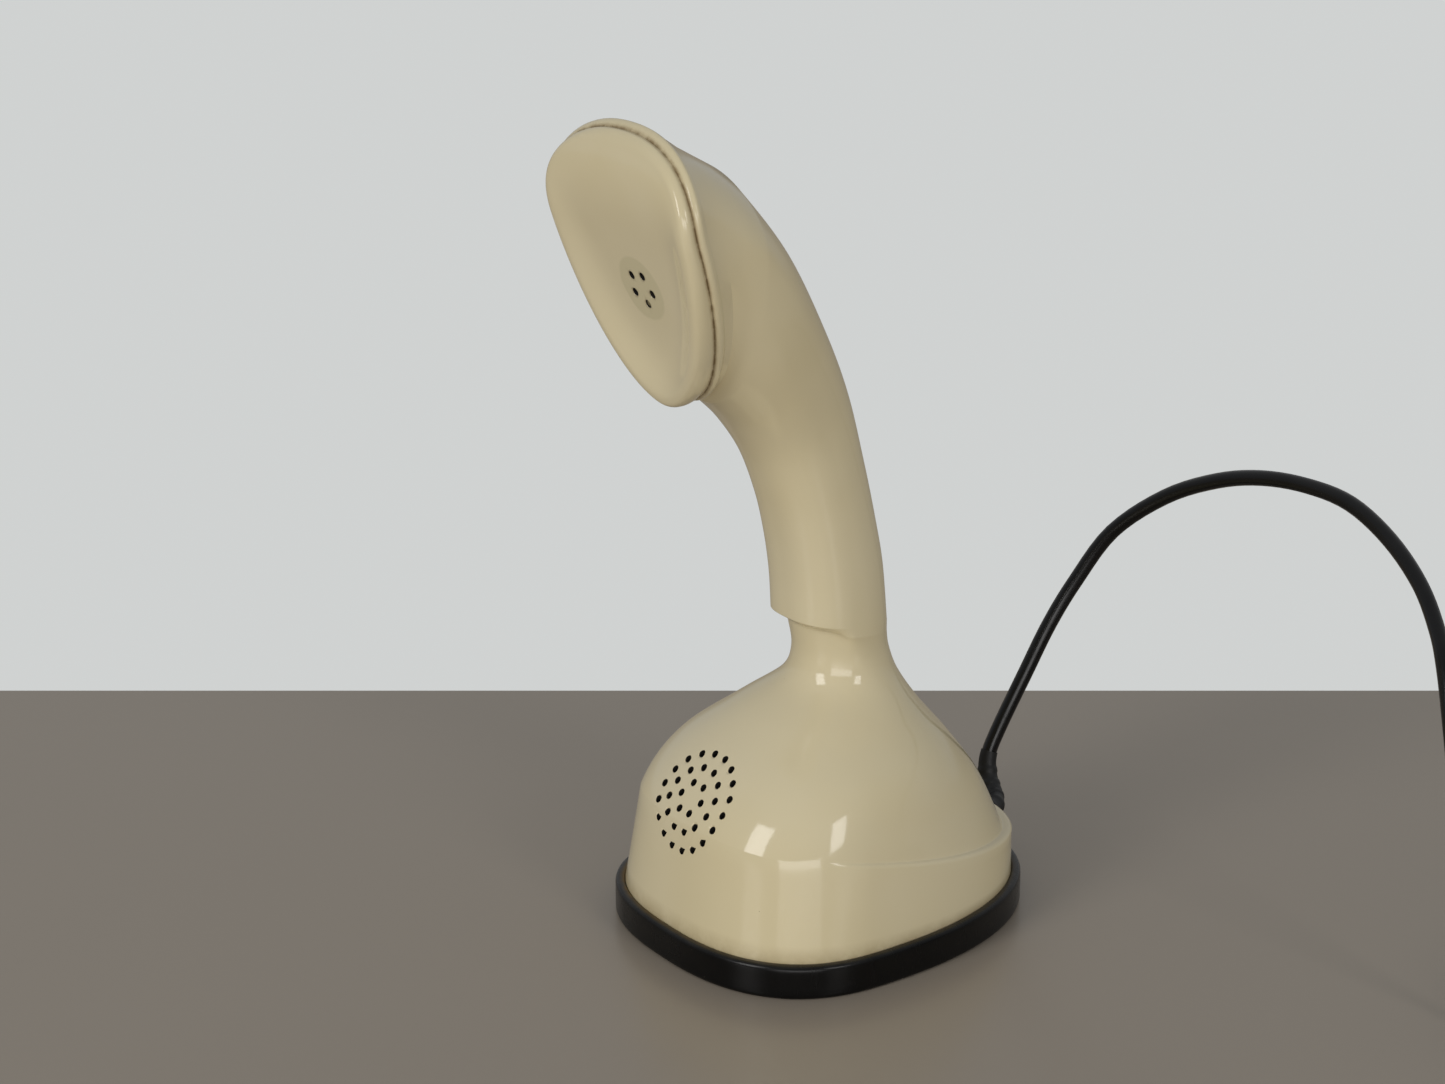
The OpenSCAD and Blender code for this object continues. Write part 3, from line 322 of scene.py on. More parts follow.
def skin(name, rings, looped):
    """Rolls a grid into a skin through rows of points, then closes its seams."""
    rows, columns = rings.shape[:2]
    steps = rows if looped else rows - 1
    deselect()
    bpy.ops.mesh.primitive_grid_add(x_subdivisions=columns, y_subdivisions=steps, size=1)
    piece = named(name)
    flat = corners(piece)
    column = np.rint((flat[:, 0] + 0.5) * columns).astype(int) % columns
    row = np.rint((flat[:, 1] + 0.5) * steps).astype(int) % rows
    piece.data.vertices.foreach_set("co", (rings[row, column] * MM).ravel())
    piece.data.update()
    clean(piece, outward=False)
    if not looped:
        pick(piece)
        bpy.ops.object.mode_set(mode="EDIT")
        bpy.ops.mesh.select_all(action="SELECT")
        bpy.ops.mesh.region_to_loop()
        bpy.ops.mesh.edge_face_add()
        bpy.ops.object.mode_set(mode="OBJECT")
    return clean(piece)


# ---- Curves of the shell ----
def through(rows, u):
    """Smooth curve through rows of values; u counts the rows."""
    rows = np.asarray(rows, float)
    i = int(max(0, min(math.floor(u), len(rows) - 2)))
    t = u - i
    a, b, c, d = rows[max(i - 1, 0)], rows[i], rows[i + 1], rows[min(i + 2, len(rows) - 1)]
    return 0.5 * (2 * b + (c - a) * t + (2 * a - 5 * b + 4 * c - d) * t * t
                  + (3 * b - a - 3 * c + d) * t ** 3)


def egg(half, front, rear, front_full, rear_full, turn):
    """Points on a rounded outline around its widest place."""
    c, s = np.cos(turn), np.sin(turn)
    full = np.where(s < 0, front_full, rear_full)
    return np.stack([half * np.sign(c) * np.abs(c) ** (2 / full),
                     np.where(s < 0, front, rear) * np.sign(s) * np.abs(s) ** (2 / full)], -1)


TURN = np.arange(COLUMNS) * 2 * math.pi / COLUMNS


def section_ring(station, inset=0.0, drop=0.0, turn=TURN):
    front, rear = np.array(station[0:2]), np.array(station[2:4])
    long = np.linalg.norm(rear - front)
    along = (rear - front) / long
    inset = np.asarray(inset)
    reach = station[7] * long
    p = egg(station[4] - inset, reach - inset, long - reach - inset, station[5], station[6], turn)
    v = reach + p[:, 1]
    return np.stack([p[:, 0], front[0] + along[0] * v, front[1] + along[1] * v - drop], -1)


def foot_ring(inset, z, turn=TURN):
    p = egg(BASE_WIDTH / 2 - inset, FOOT_WIDEST * BASE_DEPTH - inset,
            (1 - FOOT_WIDEST) * BASE_DEPTH - inset, FRONT_FULL, REAR_FULL, turn)
    return np.stack([p[:, 0], p[:, 1] + (FOOT_WIDEST - 0.5) * BASE_DEPTH, np.full(len(turn), z)], -1)


def mouth_point(x, v, out):
    bow = MOUTH_BOW * (np.maximum(0, v / MOUTH_LONG - MOUTH_BOW_FROM) / (1 - MOUTH_BOW_FROM)) ** 2
    return np.stack([x, MOUTH_LOW[0] + MOUTH_UP[0] * v + MOUTH_OUT[0] * (out - bow),
                     MOUTH_LOW[1] + MOUTH_UP[1] * v + MOUTH_OUT[1] * (out - bow)], -1)


def mouth_outline(grow, fuller=0.0):
    p = egg(MOUTH_HALF + grow, MOUTH_WIDEST * MOUTH_LONG + grow, (1 - MOUTH_WIDEST) * MOUTH_LONG + grow,
            MOUTH_FULL[0], MOUTH_FULL[1] + fuller, TURN)
    return p + [0, MOUTH_WIDEST * MOUTH_LONG]


def mouth_ring(grow, out):
    p = mouth_outline(grow)
    return mouth_point(p[:, 0], p[:, 1], out)


def rise_at(v):
    return CAP_RISE + CAP_TILT_RISE * (1 - v / MOUTH_LONG)


def cap_ring(ring):
    p = mouth_outline(ring[0], ring[2])
    return mouth_point(p[:, 0], p[:, 1], ring[1] * rise_at(p[:, 1]))


def dish_ring(d, less=0.0, reach=EAR_DISC_R):
    crest = CAP_RINGS[-1]
    p = mouth_outline(crest[0], crest[2])
    q = np.stack([reach * np.cos(TURN), EAR_V + reach * np.sin(TURN)], -1)
    m = p + (q - p) * d[0]
    fall = EAR_DISC_OUT + (rise_at(p[:, 1]) - EAR_DISC_OUT) * d[1]
    flat = mouth_point(m[:, 0], m[:, 1], 0)
    bow = MOUTH_BOW * (np.maximum(0, m[:, 1] / MOUTH_LONG - MOUTH_BOW_FROM) / (1 - MOUTH_BOW_FROM)) ** 2
    lift = (fall - less + d[0] * bow)[:, None]
    return flat + lift * np.array([0, MOUTH_OUT[0], MOUTH_OUT[1]])


EDGE_SLOPE, EDGE_FADE_Y = 0.165, -33
EDGE_REAR_Z, SKIRT_STEP = FOOT_HEIGHT + 12, 2.8
BELL_TOP = 1.6


def column_ring(share, drop, rise):
    """A ring beside the skirt's upper edge: its share of the step, its drop, its way up the bell."""
    y = foot_ring(0, 0)[:, 1]
    edge_z = EDGE_REAR_Z + EDGE_SLOPE * (BASE_DEPTH / 2 - y * 0.94)
    far = np.maximum(0, (y - EDGE_FADE_Y) / (BASE_DEPTH / 2 - EDGE_FADE_Y))
    step = np.minimum(1, far * 8) * (0.7 + (SKIRT_STEP - 0.7) * far ** 2)
    z0, z1, z2 = (BELL_STATIONS[k][1] for k in range(3))
    z = edge_z - drop
    u = np.where(z < z1, (z - z0) / (z1 - z0), 1 + (z - z1) / (z2 - z1))
    u = u + (BELL_TOP - u) * rise
    return np.array([
        section_ring(through(BELL_STATIONS, u[k]), -share * step[k], 0, TURN[k:k + 1])[0]
        for k in range(COLUMNS)])


def eased(rings, steps):
    """Adds rows between rings on a smooth curve that keeps to their spacing."""
    rings = np.array(rings)
    gap = np.maximum(np.linalg.norm(np.diff(rings, axis=0), axis=2), 1e-4)[..., None]
    slope = np.diff(rings, axis=0) / gap
    tangent = np.concatenate([slope[:1], (slope[:-1] * gap[1:] + slope[1:] * gap[:-1])
                              / (gap[:-1] + gap[1:]), slope[-1:]])
    out = []
    for k in range(len(rings) - 1):
        for s in range(steps):
            t = s / steps
            h = (2 * t ** 3 - 3 * t * t + 1, t ** 3 - 2 * t * t + t,
                 -2 * t ** 3 + 3 * t * t, t ** 3 - t * t)
            out.append(h[0] * rings[k] + h[1] * gap[k] * tangent[k] + h[2] * rings[k + 1]
                       + h[3] * gap[k] * tangent[k + 1])
    out.append(rings[-1])
    return out


def blend_rings(a, b, shares):
    return [a + (b - a) * t for t in shares]


def bell(u, inset=0.0, drop=0.0):
    return section_ring(through(BELL_STATIONS, u), inset, drop)


def grip(u, inset=0.0):
    return section_ring(through(GRIP_STATIONS, u), inset)


def neck_ring(u):
    """A ring of the neck that meets the grip flush at the sides and back, and steps in at the front."""
    ring = bell(u)
    share = np.clip((np.sin(TURN) + 0.78) / 0.86, 0, 1)
    share = share * share * (3 - 2 * share)
    rise = np.clip((u - 4.4) / 1.6, 0, 1) ** 2
    return ring + (grip(0) - bell(6)) * [1, 1, 0] * (share * rise)[:, None]


def shell_rings():
    skirt_low = foot_ring(FOOT_LEDGE + 0.1, FOOT_HEIGHT)
    skirt_top = column_ring(1, 1.1, 0)
    rows = [foot_ring(FOOT_LEDGE + 0.1, PLATE_Z)]
    rows += blend_rings(skirt_low, skirt_top, np.linspace(0, 1, 7))
    rows += eased([column_ring(1, 1.1, 0), column_ring(0.93, 0.55, 0), column_ring(0.72, 0.15, 0),
                   column_ring(0.38, -0.05, 0), column_ring(0.08, -0.2, 0), column_ring(0, -0.7, 0)], 2)[1:]
    rows += eased([column_ring(0, -0.7, 0)] + [column_ring(0, 0, t) for t in (0.25, 0.5, 0.75)]
                  + [neck_ring(u) for u in (*np.arange(BELL_TOP, 5.61, 0.2), 5.8, 5.93)], 2)[1:]
    neck, grip_low = neck_ring(6), grip(0)
    rows += blend_rings(neck, grip_low, (0.05, 0.16, 0.35, 0.6, 0.82, 0.93, 0.98))
    rows += [grip(0.02) * 0.7 + grip(0) * 0.3, grip(0.05), grip(0.1), grip(0.2)]
    rows += eased([grip(u) for u in np.arange(0.2, 6.81, 0.2)], 2)[1:]
    lip = [(-0.9, -LIP - 1.6), (0.35, -LIP), (0.7, -LIP + 0.6), (0.65, -0.7), (0.25, -0.15), (-0.4, 0)]
    rows += eased([grip(6.8)] + [mouth_ring(*r) for r in lip], 3)[1:]
    inner = [mouth_ring(-WALL, 0), mouth_ring(-WALL, -LIP)]
    inner += [grip(u, WALL) for u in np.arange(6.6, -0.01, -0.4)]
    inner += [bell(u, WALL, 0.6 * WALL if 1.2 < u < 5.2 else 0) for u in np.arange(6, 0.29, -0.3)]
    inner += [foot_ring(FOOT_LEDGE + 0.1 + WALL, FOOT_HEIGHT + 10.5),
              foot_ring(FOOT_LEDGE + 0.1 + WALL, PLATE_Z)]
    return np.array(rows + inner) + [0, BASE_Y, 0]


def mic_place():
    """Middle of the microphone holes, and the directions across, up and out of the bell there."""
    here, over, under = (through(BELL_STATIONS, MIC_U + d)[:2] for d in (0, 0.2, -0.2))
    up = (over - under) / np.linalg.norm(over - under)
    return (Vector((0, here[0] + BASE_Y, here[1])) * MM, Vector((1, 0, 0)),
            Vector((0, up[0], up[1])), Vector((0, -up[1], up[0])))


def ear_place(out):
    at = MOUTH_LOW + MOUTH_UP * EAR_V + MOUTH_OUT * out
    return (Vector((0, at[0] + BASE_Y, at[1])) * MM, Vector((1, 0, 0)),
            Vector((0, *MOUTH_UP)), Vector((0, *MOUTH_OUT)))


def place_matrix(at, across, up, out):
    m = Matrix((across, up, out)).transposed().to_4x4()
    m.translation = at
    return m


def hole_cutter(radius, flare, rim, depth):
    """A round cutter along Z with a flared mouth, the rim at z = 0."""
    deselect()
    bpy.ops.mesh.primitive_cylinder_add(vertices=24, radius=radius, depth=depth,
                                        location=(0, 0, -depth / 2 - flare))
    cutter = settle(bpy.context.object)
    bpy.ops.object.mode_set(mode="EDIT")
    bpy.ops.mesh.select_mode(type="FACE")
    bpy.ops.mesh.select_all(action="DESELECT")
    bpy.ops.object.mode_set(mode="OBJECT")
    for face in cutter.data.polygons:
        face.select = face.normal.z > 0.9
    bpy.ops.object.mode_set(mode="EDIT")
    for reach, rise in ((flare, flare), (rim, rim)):
        bpy.ops.mesh.extrude_region_move(TRANSFORM_OT_translate={"value": (0, 0, rise)})
        grow = 1 + reach / radius
        bpy.ops.transform.resize(value=(grow, grow, 1), center_override=(0, 0, 0))
    bpy.ops.object.mode_set(mode="OBJECT")
    return cutter


def copies_at(cutter, matrices, name):
    """One mesh for each place, joined."""
    made = []
    for m in matrices:
        o = cutter.copy()
        o.data = cutter.data.copy()
        bpy.context.scene.collection.objects.link(o)
        o.data.transform(m)
        made.append(o)
    bpy.data.objects.remove(cutter)
    return joined(name, made)


def surface_under(piece, start, direction):
    """Where a line meets the piece's surface."""
    hit, where, _, _ = piece.ray_cast(start, direction)
    if not hit:
        raise RuntimeError("no surface under a hole of " + piece.name)
    return where


def drill(piece, frame_at, spots, radius, flare, depth):
    """Drills round holes with flared rims at spots of a local frame."""
    at, across, up, out = frame_at
    places = []
    for x, y in spots:
        start = at + across * x + up * y + out * 0.03
        rim = surface_under(piece, start, -out)
        places.append(place_matrix(rim, across, up, out))
    cutter = copies_at(hole_cutter(radius, flare, flare * 3, depth), places, "cutter")
    cut(piece, clean(cutter))
    return [(m.translation.copy(), out, depth) for m in places]


def darken_holes(piece, holes, radius):
    """Paints the walls inside the drilled holes near black: painted shade that makes the holes look dark."""
    piece.data.materials.append(FINISHES["painted_hole_shade"])
    for face in piece.data.polygons:
        for rim, out, depth in holes:
            if (face.center - rim).length > depth or abs(face.normal.dot(out)) > 0.5:
                continue
            reach = [piece.data.vertices[v].co - rim for v in face.vertices]
            if max((w - out * w.dot(out)).length for w in reach) < radius * 1.04:
                face.material_index = 1


def near_line(piece, name, line, reach):
    """Writes an attribute that is 1 on a line of points and fades out over reach."""
    tree = KDTree(len(line))
    for i, p in enumerate(line):
        tree.insert(Vector(p), i)
    tree.balance()
    values = [math.exp(-(tree.find(v.co)[2] / reach) ** 2) for v in piece.data.vertices]
    attribute = piece.data.attributes.new(name, "FLOAT", "POINT")
    attribute.data.foreach_set("value", values)


# ---- Node groups and finishes ----
def new_group(name, inputs, outputs):
    tree = bpy.data.node_groups.new(name, "ShaderNodeTree")
    for label, kind, value in inputs:
        socket = tree.interface.new_socket(label, in_out="INPUT", socket_type=kind)
        if value is not None:
            socket.default_value = value
    for label, kind in outputs:
        tree.interface.new_socket(label, in_out="OUTPUT", socket_type=kind)
    start, end = tree.nodes.new("NodeGroupInput"), tree.nodes.new("NodeGroupOutput")
    return tree, start, end


def node(tree, kind, links=(), **values):
    """Adds a node, sets its values and links its inputs."""
    made = tree.nodes.new("ShaderNode" + kind)
    for key, value in values.items():
        setattr(made, key, value)
    for socket, source in dict(links).items():
        if hasattr(source, "is_output"):
            tree.links.new(source, made.inputs[socket])
        else:
            made.inputs[socket].default_value = source
    return made


FLOAT, COLOUR, VECTOR = "NodeSocketFloat", "NodeSocketColor", "NodeSocketVector"


def ramp(tree, value, low, high, to_low=0.0, to_high=1.0):
    return node(tree, "MapRange", {"Value": value, "From Min": low, "From Max": high, "To Min": to_low,
                                   "To Max": to_high}, interpolation_type="SMOOTHSTEP").outputs["Result"]


def tone_drift_group():
    """Slow change of colour over a moulding, as from age and handling."""
    tree, start, end = new_group("tone_drift", [
        ("Vector", VECTOR, None), ("Scale", FLOAT, 20.0), ("Colour", COLOUR, None),
        ("Aged Colour", COLOUR, None), ("Amount", FLOAT, 0.5)], [("Colour", COLOUR)])
    broad = node(tree, "TexNoise", {"Vector": start.outputs["Vector"], "Scale": start.outputs["Scale"],
                                    "Detail": 3.0, "Roughness": 0.55})
    shade = ramp(tree, broad.outputs["Fac"], 0.35, 0.68)
    share = node(tree, "Math", {0: shade, 1: start.outputs["Amount"]}, operation="MULTIPLY")
    mixed = node(tree, "Mix", {"Factor": share.outputs[0], 6: start.outputs["Colour"],
                               7: start.outputs["Aged Colour"]}, data_type="RGBA")
    tree.links.new(mixed.outputs[2], end.inputs["Colour"])
    return tree


def fine_grain_group():
    """Height of a moulded or rubbed surface: soft ripple and fine grain."""
    tree, start, end = new_group("fine_grain", [
        ("Vector", VECTOR, None), ("Ripple Scale", FLOAT, 220.0), ("Ripple", FLOAT, 0.5),
        ("Grain Scale", FLOAT, 2500.0), ("Grain", FLOAT, 0.2)], [("Height", FLOAT)])
    total = None
    for scale, share in (("Ripple Scale", "Ripple"), ("Grain Scale", "Grain")):
        noise = node(tree, "TexNoise", {"Vector": start.outputs["Vector"], "Scale": start.outputs[scale],
                                        "Detail": 2.0})
        part = node(tree, "Math", {0: noise.outputs["Fac"], 1: start.outputs[share]}, operation="MULTIPLY")
        if total is None:
            total = part
        else:
            total = node(tree, "Math", {0: total.outputs[0], 1: part.outputs[0]}, operation="ADD")
    tree.links.new(total.outputs[0], end.inputs["Height"])
    return tree


def specks_group():
    """Mask of small scattered spots of dirt."""
    tree, start, end = new_group("specks", [
        ("Vector", VECTOR, None), ("Scale", FLOAT, 300.0), ("Size", FLOAT, 0.12),
        ("Scarcity", FLOAT, 0.9)], [("Mask", FLOAT)])
    cells = node(tree, "TexVoronoi", {"Vector": start.outputs["Vector"], "Scale": start.outputs["Scale"]})
    spot = node(tree, "Math", {0: cells.outputs["Distance"], 1: start.outputs["Size"]},
                operation="LESS_THAN")
    tone = node(tree, "SeparateColor", {"Color": cells.outputs["Color"]})
    rare = node(tree, "Math", {0: tone.outputs[0], 1: start.outputs["Scarcity"]},
                operation="GREATER_THAN")
    both = node(tree, "Math", {0: spot.outputs[0], 1: rare.outputs[0]}, operation="MULTIPLY")
    tree.links.new(both.outputs[0], end.inputs["Mask"])
    return tree


def rubs_group():
    """Mask of fine streaks where a surface has been wiped and handled."""
    tree, start, end = new_group("rubs", [
        ("Vector", VECTOR, None), ("Scale", FLOAT, 40.0), ("Stretch", VECTOR, (1.0, 6.0, 1.0)),
        ("Amount", FLOAT, 0.5)], [("Mask", FLOAT)])
    pulled = node(tree, "VectorMath", {0: start.outputs["Vector"], 1: start.outputs["Stretch"]},
                  operation="MULTIPLY")
    noise = node(tree, "TexNoise", {"Vector": pulled.outputs[0], "Scale": start.outputs["Scale"],
                                    "Detail": 6.0, "Roughness": 0.65})
    band = ramp(tree, noise.outputs["Fac"], 0.52, 0.75)
    part = node(tree, "Math", {0: band, 1: start.outputs["Amount"]}, operation="MULTIPLY")
    tree.links.new(part.outputs[0], end.inputs["Mask"])
    return tree


def dust_group():
    """Mask of dust that settles on faces that look up."""
    tree, start, end = new_group("settled_dust", [
        ("Vector", VECTOR, None), ("Scale", FLOAT, 90.0), ("Amount", FLOAT, 0.3)], [("Mask", FLOAT)])
    facing = node(tree, "SeparateXYZ", {"Vector": node(tree, "NewGeometry").outputs["Normal"]})
    upward = ramp(tree, facing.outputs["Z"], 0.25, 0.95)
    noise = node(tree, "TexNoise", {"Vector": start.outputs["Vector"], "Scale": start.outputs["Scale"],
                                    "Detail": 5.0, "Roughness": 0.7})
    patch = ramp(tree, noise.outputs["Fac"], 0.3, 0.7, 0.3, 1.0)
    both = node(tree, "Math", {0: upward, 1: patch}, operation="MULTIPLY")
    part = node(tree, "Math", {0: both.outputs[0], 1: start.outputs["Amount"]}, operation="MULTIPLY")
    tree.links.new(part.outputs[0], end.inputs["Mask"])
    return tree


GROUPS = {}


def effect(tree, name, links):
    """Places a shared effect in a material."""
    makers = {"tone_drift": tone_drift_group, "fine_grain": fine_grain_group, "specks": specks_group,
              "rubs": rubs_group, "settled_dust": dust_group}
    if name not in GROUPS:
        GROUPS[name] = makers[name]()
    made = tree.nodes.new("ShaderNodeGroup")
    made.node_tree = GROUPS[name]
    for socket, source in links.items():
        if hasattr(source, "is_output"):
            tree.links.new(source, made.inputs[socket])
        else:
            made.inputs[socket].default_value = source
    return made.outputs[0]


def rgba(colour):
    return (*colour, 1.0)


def mix(tree, share, a, b):
    return node(tree, "Mix", {"Factor": share, 6: a, 7: b}, data_type="RGBA").outputs[2]


def times(tree, a, b):
    return node(tree, "Math", {0: a, 1: b}, operation="MULTIPLY").outputs[0]


def finish(name, colour, aged, roughness, metallic=0.0, coat=0.0, drift=(18, 0.5), ripple=(220, 0.5),
           grain=(2500, 0.2), bump=0.05, bump_depth=0.0002, speck=None, rub=(45, 0.25), dust=None,
           marks=(), ior=1.5):
    """A procedural finish. marks are extra patches: how to get a mask, their colour and roughness."""
    material = bpy.data.materials.new(name)
    material.use_nodes = True
    tree = material.node_tree
    shader = next(n for n in tree.nodes if n.type == "BSDF_PRINCIPLED")
    place = node(tree, "TexCoord").outputs["Object"]
    tone = effect(tree, "tone_drift", {"Vector": place, "Scale": drift[0], "Colour": rgba(colour),
                                       "Aged Colour": rgba(aged), "Amount": drift[1]})
    streaks = effect(tree, "rubs", {"Vector": place, "Scale": rub[0], "Amount": rub[1]})
    rough = node(tree, "Math", {0: times(tree, streaks, 0.35), 1: roughness}, operation="ADD").outputs[0]
    if speck:
        spots = effect(tree, "specks", {"Vector": place, "Scale": speck[0], "Size": speck[1],
                                        "Scarcity": speck[2]})
        tone = mix(tree, times(tree, spots, 0.75), tone, rgba(speck[3]))
    for mask, patch, patch_rough in marks:
        share = mask(tree, place)
        tone = mix(tree, share, tone, rgba(patch))
        rough = node(tree, "Mix", {"Factor": share, "A": rough, "B": patch_rough}).outputs[0]
    if dust:
        settled = effect(tree, "settled_dust", {"Vector": place, "Scale": dust[0], "Amount": dust[1]})
        tone = mix(tree, settled, tone, rgba((0.42, 0.40, 0.36)))
        rough = node(tree, "Mix", {"Factor": settled, "A": rough, "B": 0.8}).outputs[0]
    height = effect(tree, "fine_grain", {"Vector": place, "Ripple Scale": ripple[0], "Ripple": ripple[1],
                                         "Grain Scale": grain[0], "Grain": grain[1]})
    relief = node(tree, "Bump", {"Height": height, "Strength": bump, "Distance": bump_depth})
    tree.links.new(tone, shader.inputs["Base Color"])
    tree.links.new(rough, shader.inputs["Roughness"])
    tree.links.new(relief.outputs["Normal"], shader.inputs["Normal"])
    shader.inputs["Metallic"].default_value = metallic
    shader.inputs["Coat Weight"].default_value = coat
    shader.inputs["IOR"].default_value = ior
    return material


FINISHES = {}


def attribute_mask(name, strength=1.0, scale=220.0):
    """Mask from a piece's own attribute, broken up by noise."""
    def make(tree, place):
        value = node(tree, "Attribute", attribute_name=name).outputs["Fac"]
        noise = node(tree, "TexNoise", {"Vector": place, "Scale": scale, "Detail": 4.0, "Roughness": 0.7})
        broken = ramp(tree, noise.outputs["Fac"], 0.3, 0.6, 0.35, 1.0)
        return times(tree, times(tree, value, broken), strength)
    return make


def disc_mask(centre, radius, strength):
    """Mask of a round patch about a point, soft and uneven at its edge."""
    def make(tree, place):
        noise = node(tree, "TexNoise", {"Vector": place, "Scale": 160.0, "Detail": 3.0})
        from_middle = node(tree, "VectorMath", {0: place, 1: tuple(centre)},
                           operation="DISTANCE").outputs["Value"]
        uneven = node(tree, "Math", {0: times(tree, noise.outputs["Fac"], radius * 0.12), 1: from_middle},
                      operation="ADD").outputs[0]
        return ramp(tree, uneven, radius * 1.13, radius * 1.02, 0.0, strength)
    return make


def make_finishes(colours):
    ivory = tuple(colours.ivory)
    aged = (ivory[0] * 0.93, ivory[1] * 0.90, ivory[2] * 0.80)
    dirt = (0.17, 0.10, 0.03)
    ear_at = ear_place(EAR_DISC_OUT)[0]
    moulding = dict(roughness=0.085, drift=(14, 0.55), ripple=(150, 0.8), grain=(1800, 0.12), bump=0.035,
                    speck=(260, 0.035, 0.965, (0.20, 0.13, 0.06)), rub=(38, 0.14), dust=(70, 0.03))
    made = FINISHES
    made["ivory_shell"] = finish("ivory_shell", ivory, aged, **moulding,
                                 marks=[(attribute_mask("seam_dirt", 0.85), dirt, 0.6),
                                        (attribute_mask("foot_dirt", 0.55, 90), (0.36, 0.27, 0.13), 0.45)])
    made["ivory_cap"] = finish("ivory_cap", ivory, aged, **moulding,
                               marks=[(disc_mask(ear_at, EAR_DISC_R * MM, 0.5), (0.55, 0.50, 0.31), 0.15),
                                      (attribute_mask("seam_dirt", 0.9), dirt, 0.6),
                                      # Dark ring at the ear holes' mouths: dirt and painted shade.
                                      (attribute_mask("hole_dirt_and_shade", 0.7), (0.14, 0.10, 0.05), 0.5)])
    # Painted shade: near-black finish for the walls inside the sound holes.
    made["painted_hole_shade"] = finish("painted_hole_shade", (0.008, 0.007, 0.006), (0.02, 0.016, 0.01), 0.6, bump=0.3,
                               drift=(300, 0.6))
    made["ear_dirt"] = finish("ear_dirt", (0.20, 0.175, 0.09), (0.12, 0.10, 0.05), 0.7, bump=0.4)
    made["black_rubber"] = finish(
        "black_rubber", tuple(colours.rubber), (0.003, 0.003, 0.003), 0.24, drift=(60, 0.7),
        ripple=(260, 0.6), grain=(3200, 0.6), bump=0.12, rub=(70, 0.4), dust=(120, 0.03), ior=1.33,
        speck=(420, 0.045, 0.955, (0.10, 0.09, 0.07)),
        marks=[(attribute_mask("ledge_dirt", 0.95, 300), (0.17, 0.115, 0.045), 0.75)])
    made["rubber_part"] = finish("rubber_part", tuple(colours.rubber), (0.02, 0.02, 0.02), 0.5, bump=0.15,
                                 drift=(60, 0.6))
    made["bottom_plate"] = finish("bottom_plate", (0.022, 0.022, 0.022), (0.035, 0.034, 0.032), 0.55,
                                  drift=(40, 0.7), ripple=(500, 0.5), grain=(2600, 0.9), bump=0.35,
                                  rub=(30, 0.5), speck=(300, 0.06, 0.9, (0.12, 0.11, 0.09)))
    made["finger_wheel"] = finish("finger_wheel", tuple(colours.wheel), tuple(c * 0.88 for c in colours.wheel),
                                  0.2, drift=(30, 0.6), bump=0.05, rub=(80, 0.6), dust=None,
                                  speck=(300, 0.04, 0.94, (0.2, 0.14, 0.07)))
    made["number_plate"] = finish("number_plate", (0.62, 0.58, 0.46), (0.52, 0.47, 0.33), 0.28,
                                  drift=(40, 0.6), bump=0.05)
    made["numerals"] = finish("numerals", (0.02, 0.02, 0.02), (0.05, 0.045, 0.04), 0.4, bump=0.1)
    made["red_plastic"] = finish("red_plastic", tuple(colours.button), tuple(c * 0.75 for c in colours.button),
                                 0.18, drift=(60, 0.6), bump=0.06, rub=(120, 0.7), coat=0.2,
                                 speck=(500, 0.05, 0.93, (0.08, 0.02, 0.02)))
    made["cord"] = finish("cord", tuple(colours.cord), (0.004, 0.004, 0.0045), 0.22, drift=(50, 0.7),
                          ripple=(180, 0.7), grain=(2200, 0.3), bump=0.08, rub=(60, 0.3), dust=(90, 0.01),
                          ior=1.42)
    made["plug"] = finish("plug", (0.012, 0.012, 0.012), (0.02, 0.02, 0.02), 0.3, bump=0.1, drift=(60, 0.6))
    made["coil_tie"] = finish("coil_tie", (0.03, 0.03, 0.03), (0.05, 0.05, 0.05), 0.45, bump=0.15)
    made["steel"] = finish("steel", (0.52, 0.52, 0.51), (0.40, 0.39, 0.36), 0.3, metallic=1.0,
                           drift=(80, 0.6), ripple=(400, 0.5), grain=(3000, 0.5), bump=0.12, rub=(90, 0.7))
    made["screws"] = finish("screws", (0.48, 0.47, 0.44), (0.33, 0.30, 0.25), 0.34, metallic=1.0,
                            drift=(200, 0.8), bump=0.15, rub=(200, 0.8))
    made["brass"] = finish("brass", (0.62, 0.45, 0.18), (0.45, 0.30, 0.11), 0.3, metallic=1.0,
                           drift=(120, 0.7), bump=0.12, rub=(120, 0.7))
    made["copper"] = finish("copper", (0.52, 0.22, 0.09), (0.36, 0.14, 0.05), 0.35, metallic=1.0,
                            drift=(300, 0.6), ripple=(1500, 0.9), bump=0.4)
    made["grey_plastic"] = finish("grey_plastic", (0.11, 0.11, 0.115), (0.08, 0.08, 0.08), 0.42,
                                  drift=(50, 0.6), bump=0.15)
    made["board"] = finish("board", (0.20, 0.09, 0.035), (0.13, 0.055, 0.02), 0.4, drift=(150, 0.8),
                           ripple=(600, 0.8), bump=0.2)
    made["capacitor"] = finish("capacitor", (0.55, 0.55, 0.56), (0.45, 0.45, 0.45), 0.28, metallic=1.0,
                               drift=(60, 0.5), ripple=(500, 0.4), bump=0.1, rub=(60, 0.8))
    made["wire"] = finish("wire", (0.25, 0.02, 0.015), (0.15, 0.012, 0.01), 0.35, bump=0.15)


def dress(piece, name):
    piece.data.materials.clear()
    piece.data.materials.append(FINISHES[name])
    return piece


def put(piece, body, slot, *nodes):
    """The piece rides on a body and stands for CAD nodes, which it hides; slot is not used."""
    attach(piece, body)
    if nodes:
        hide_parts(*nodes)
    return piece


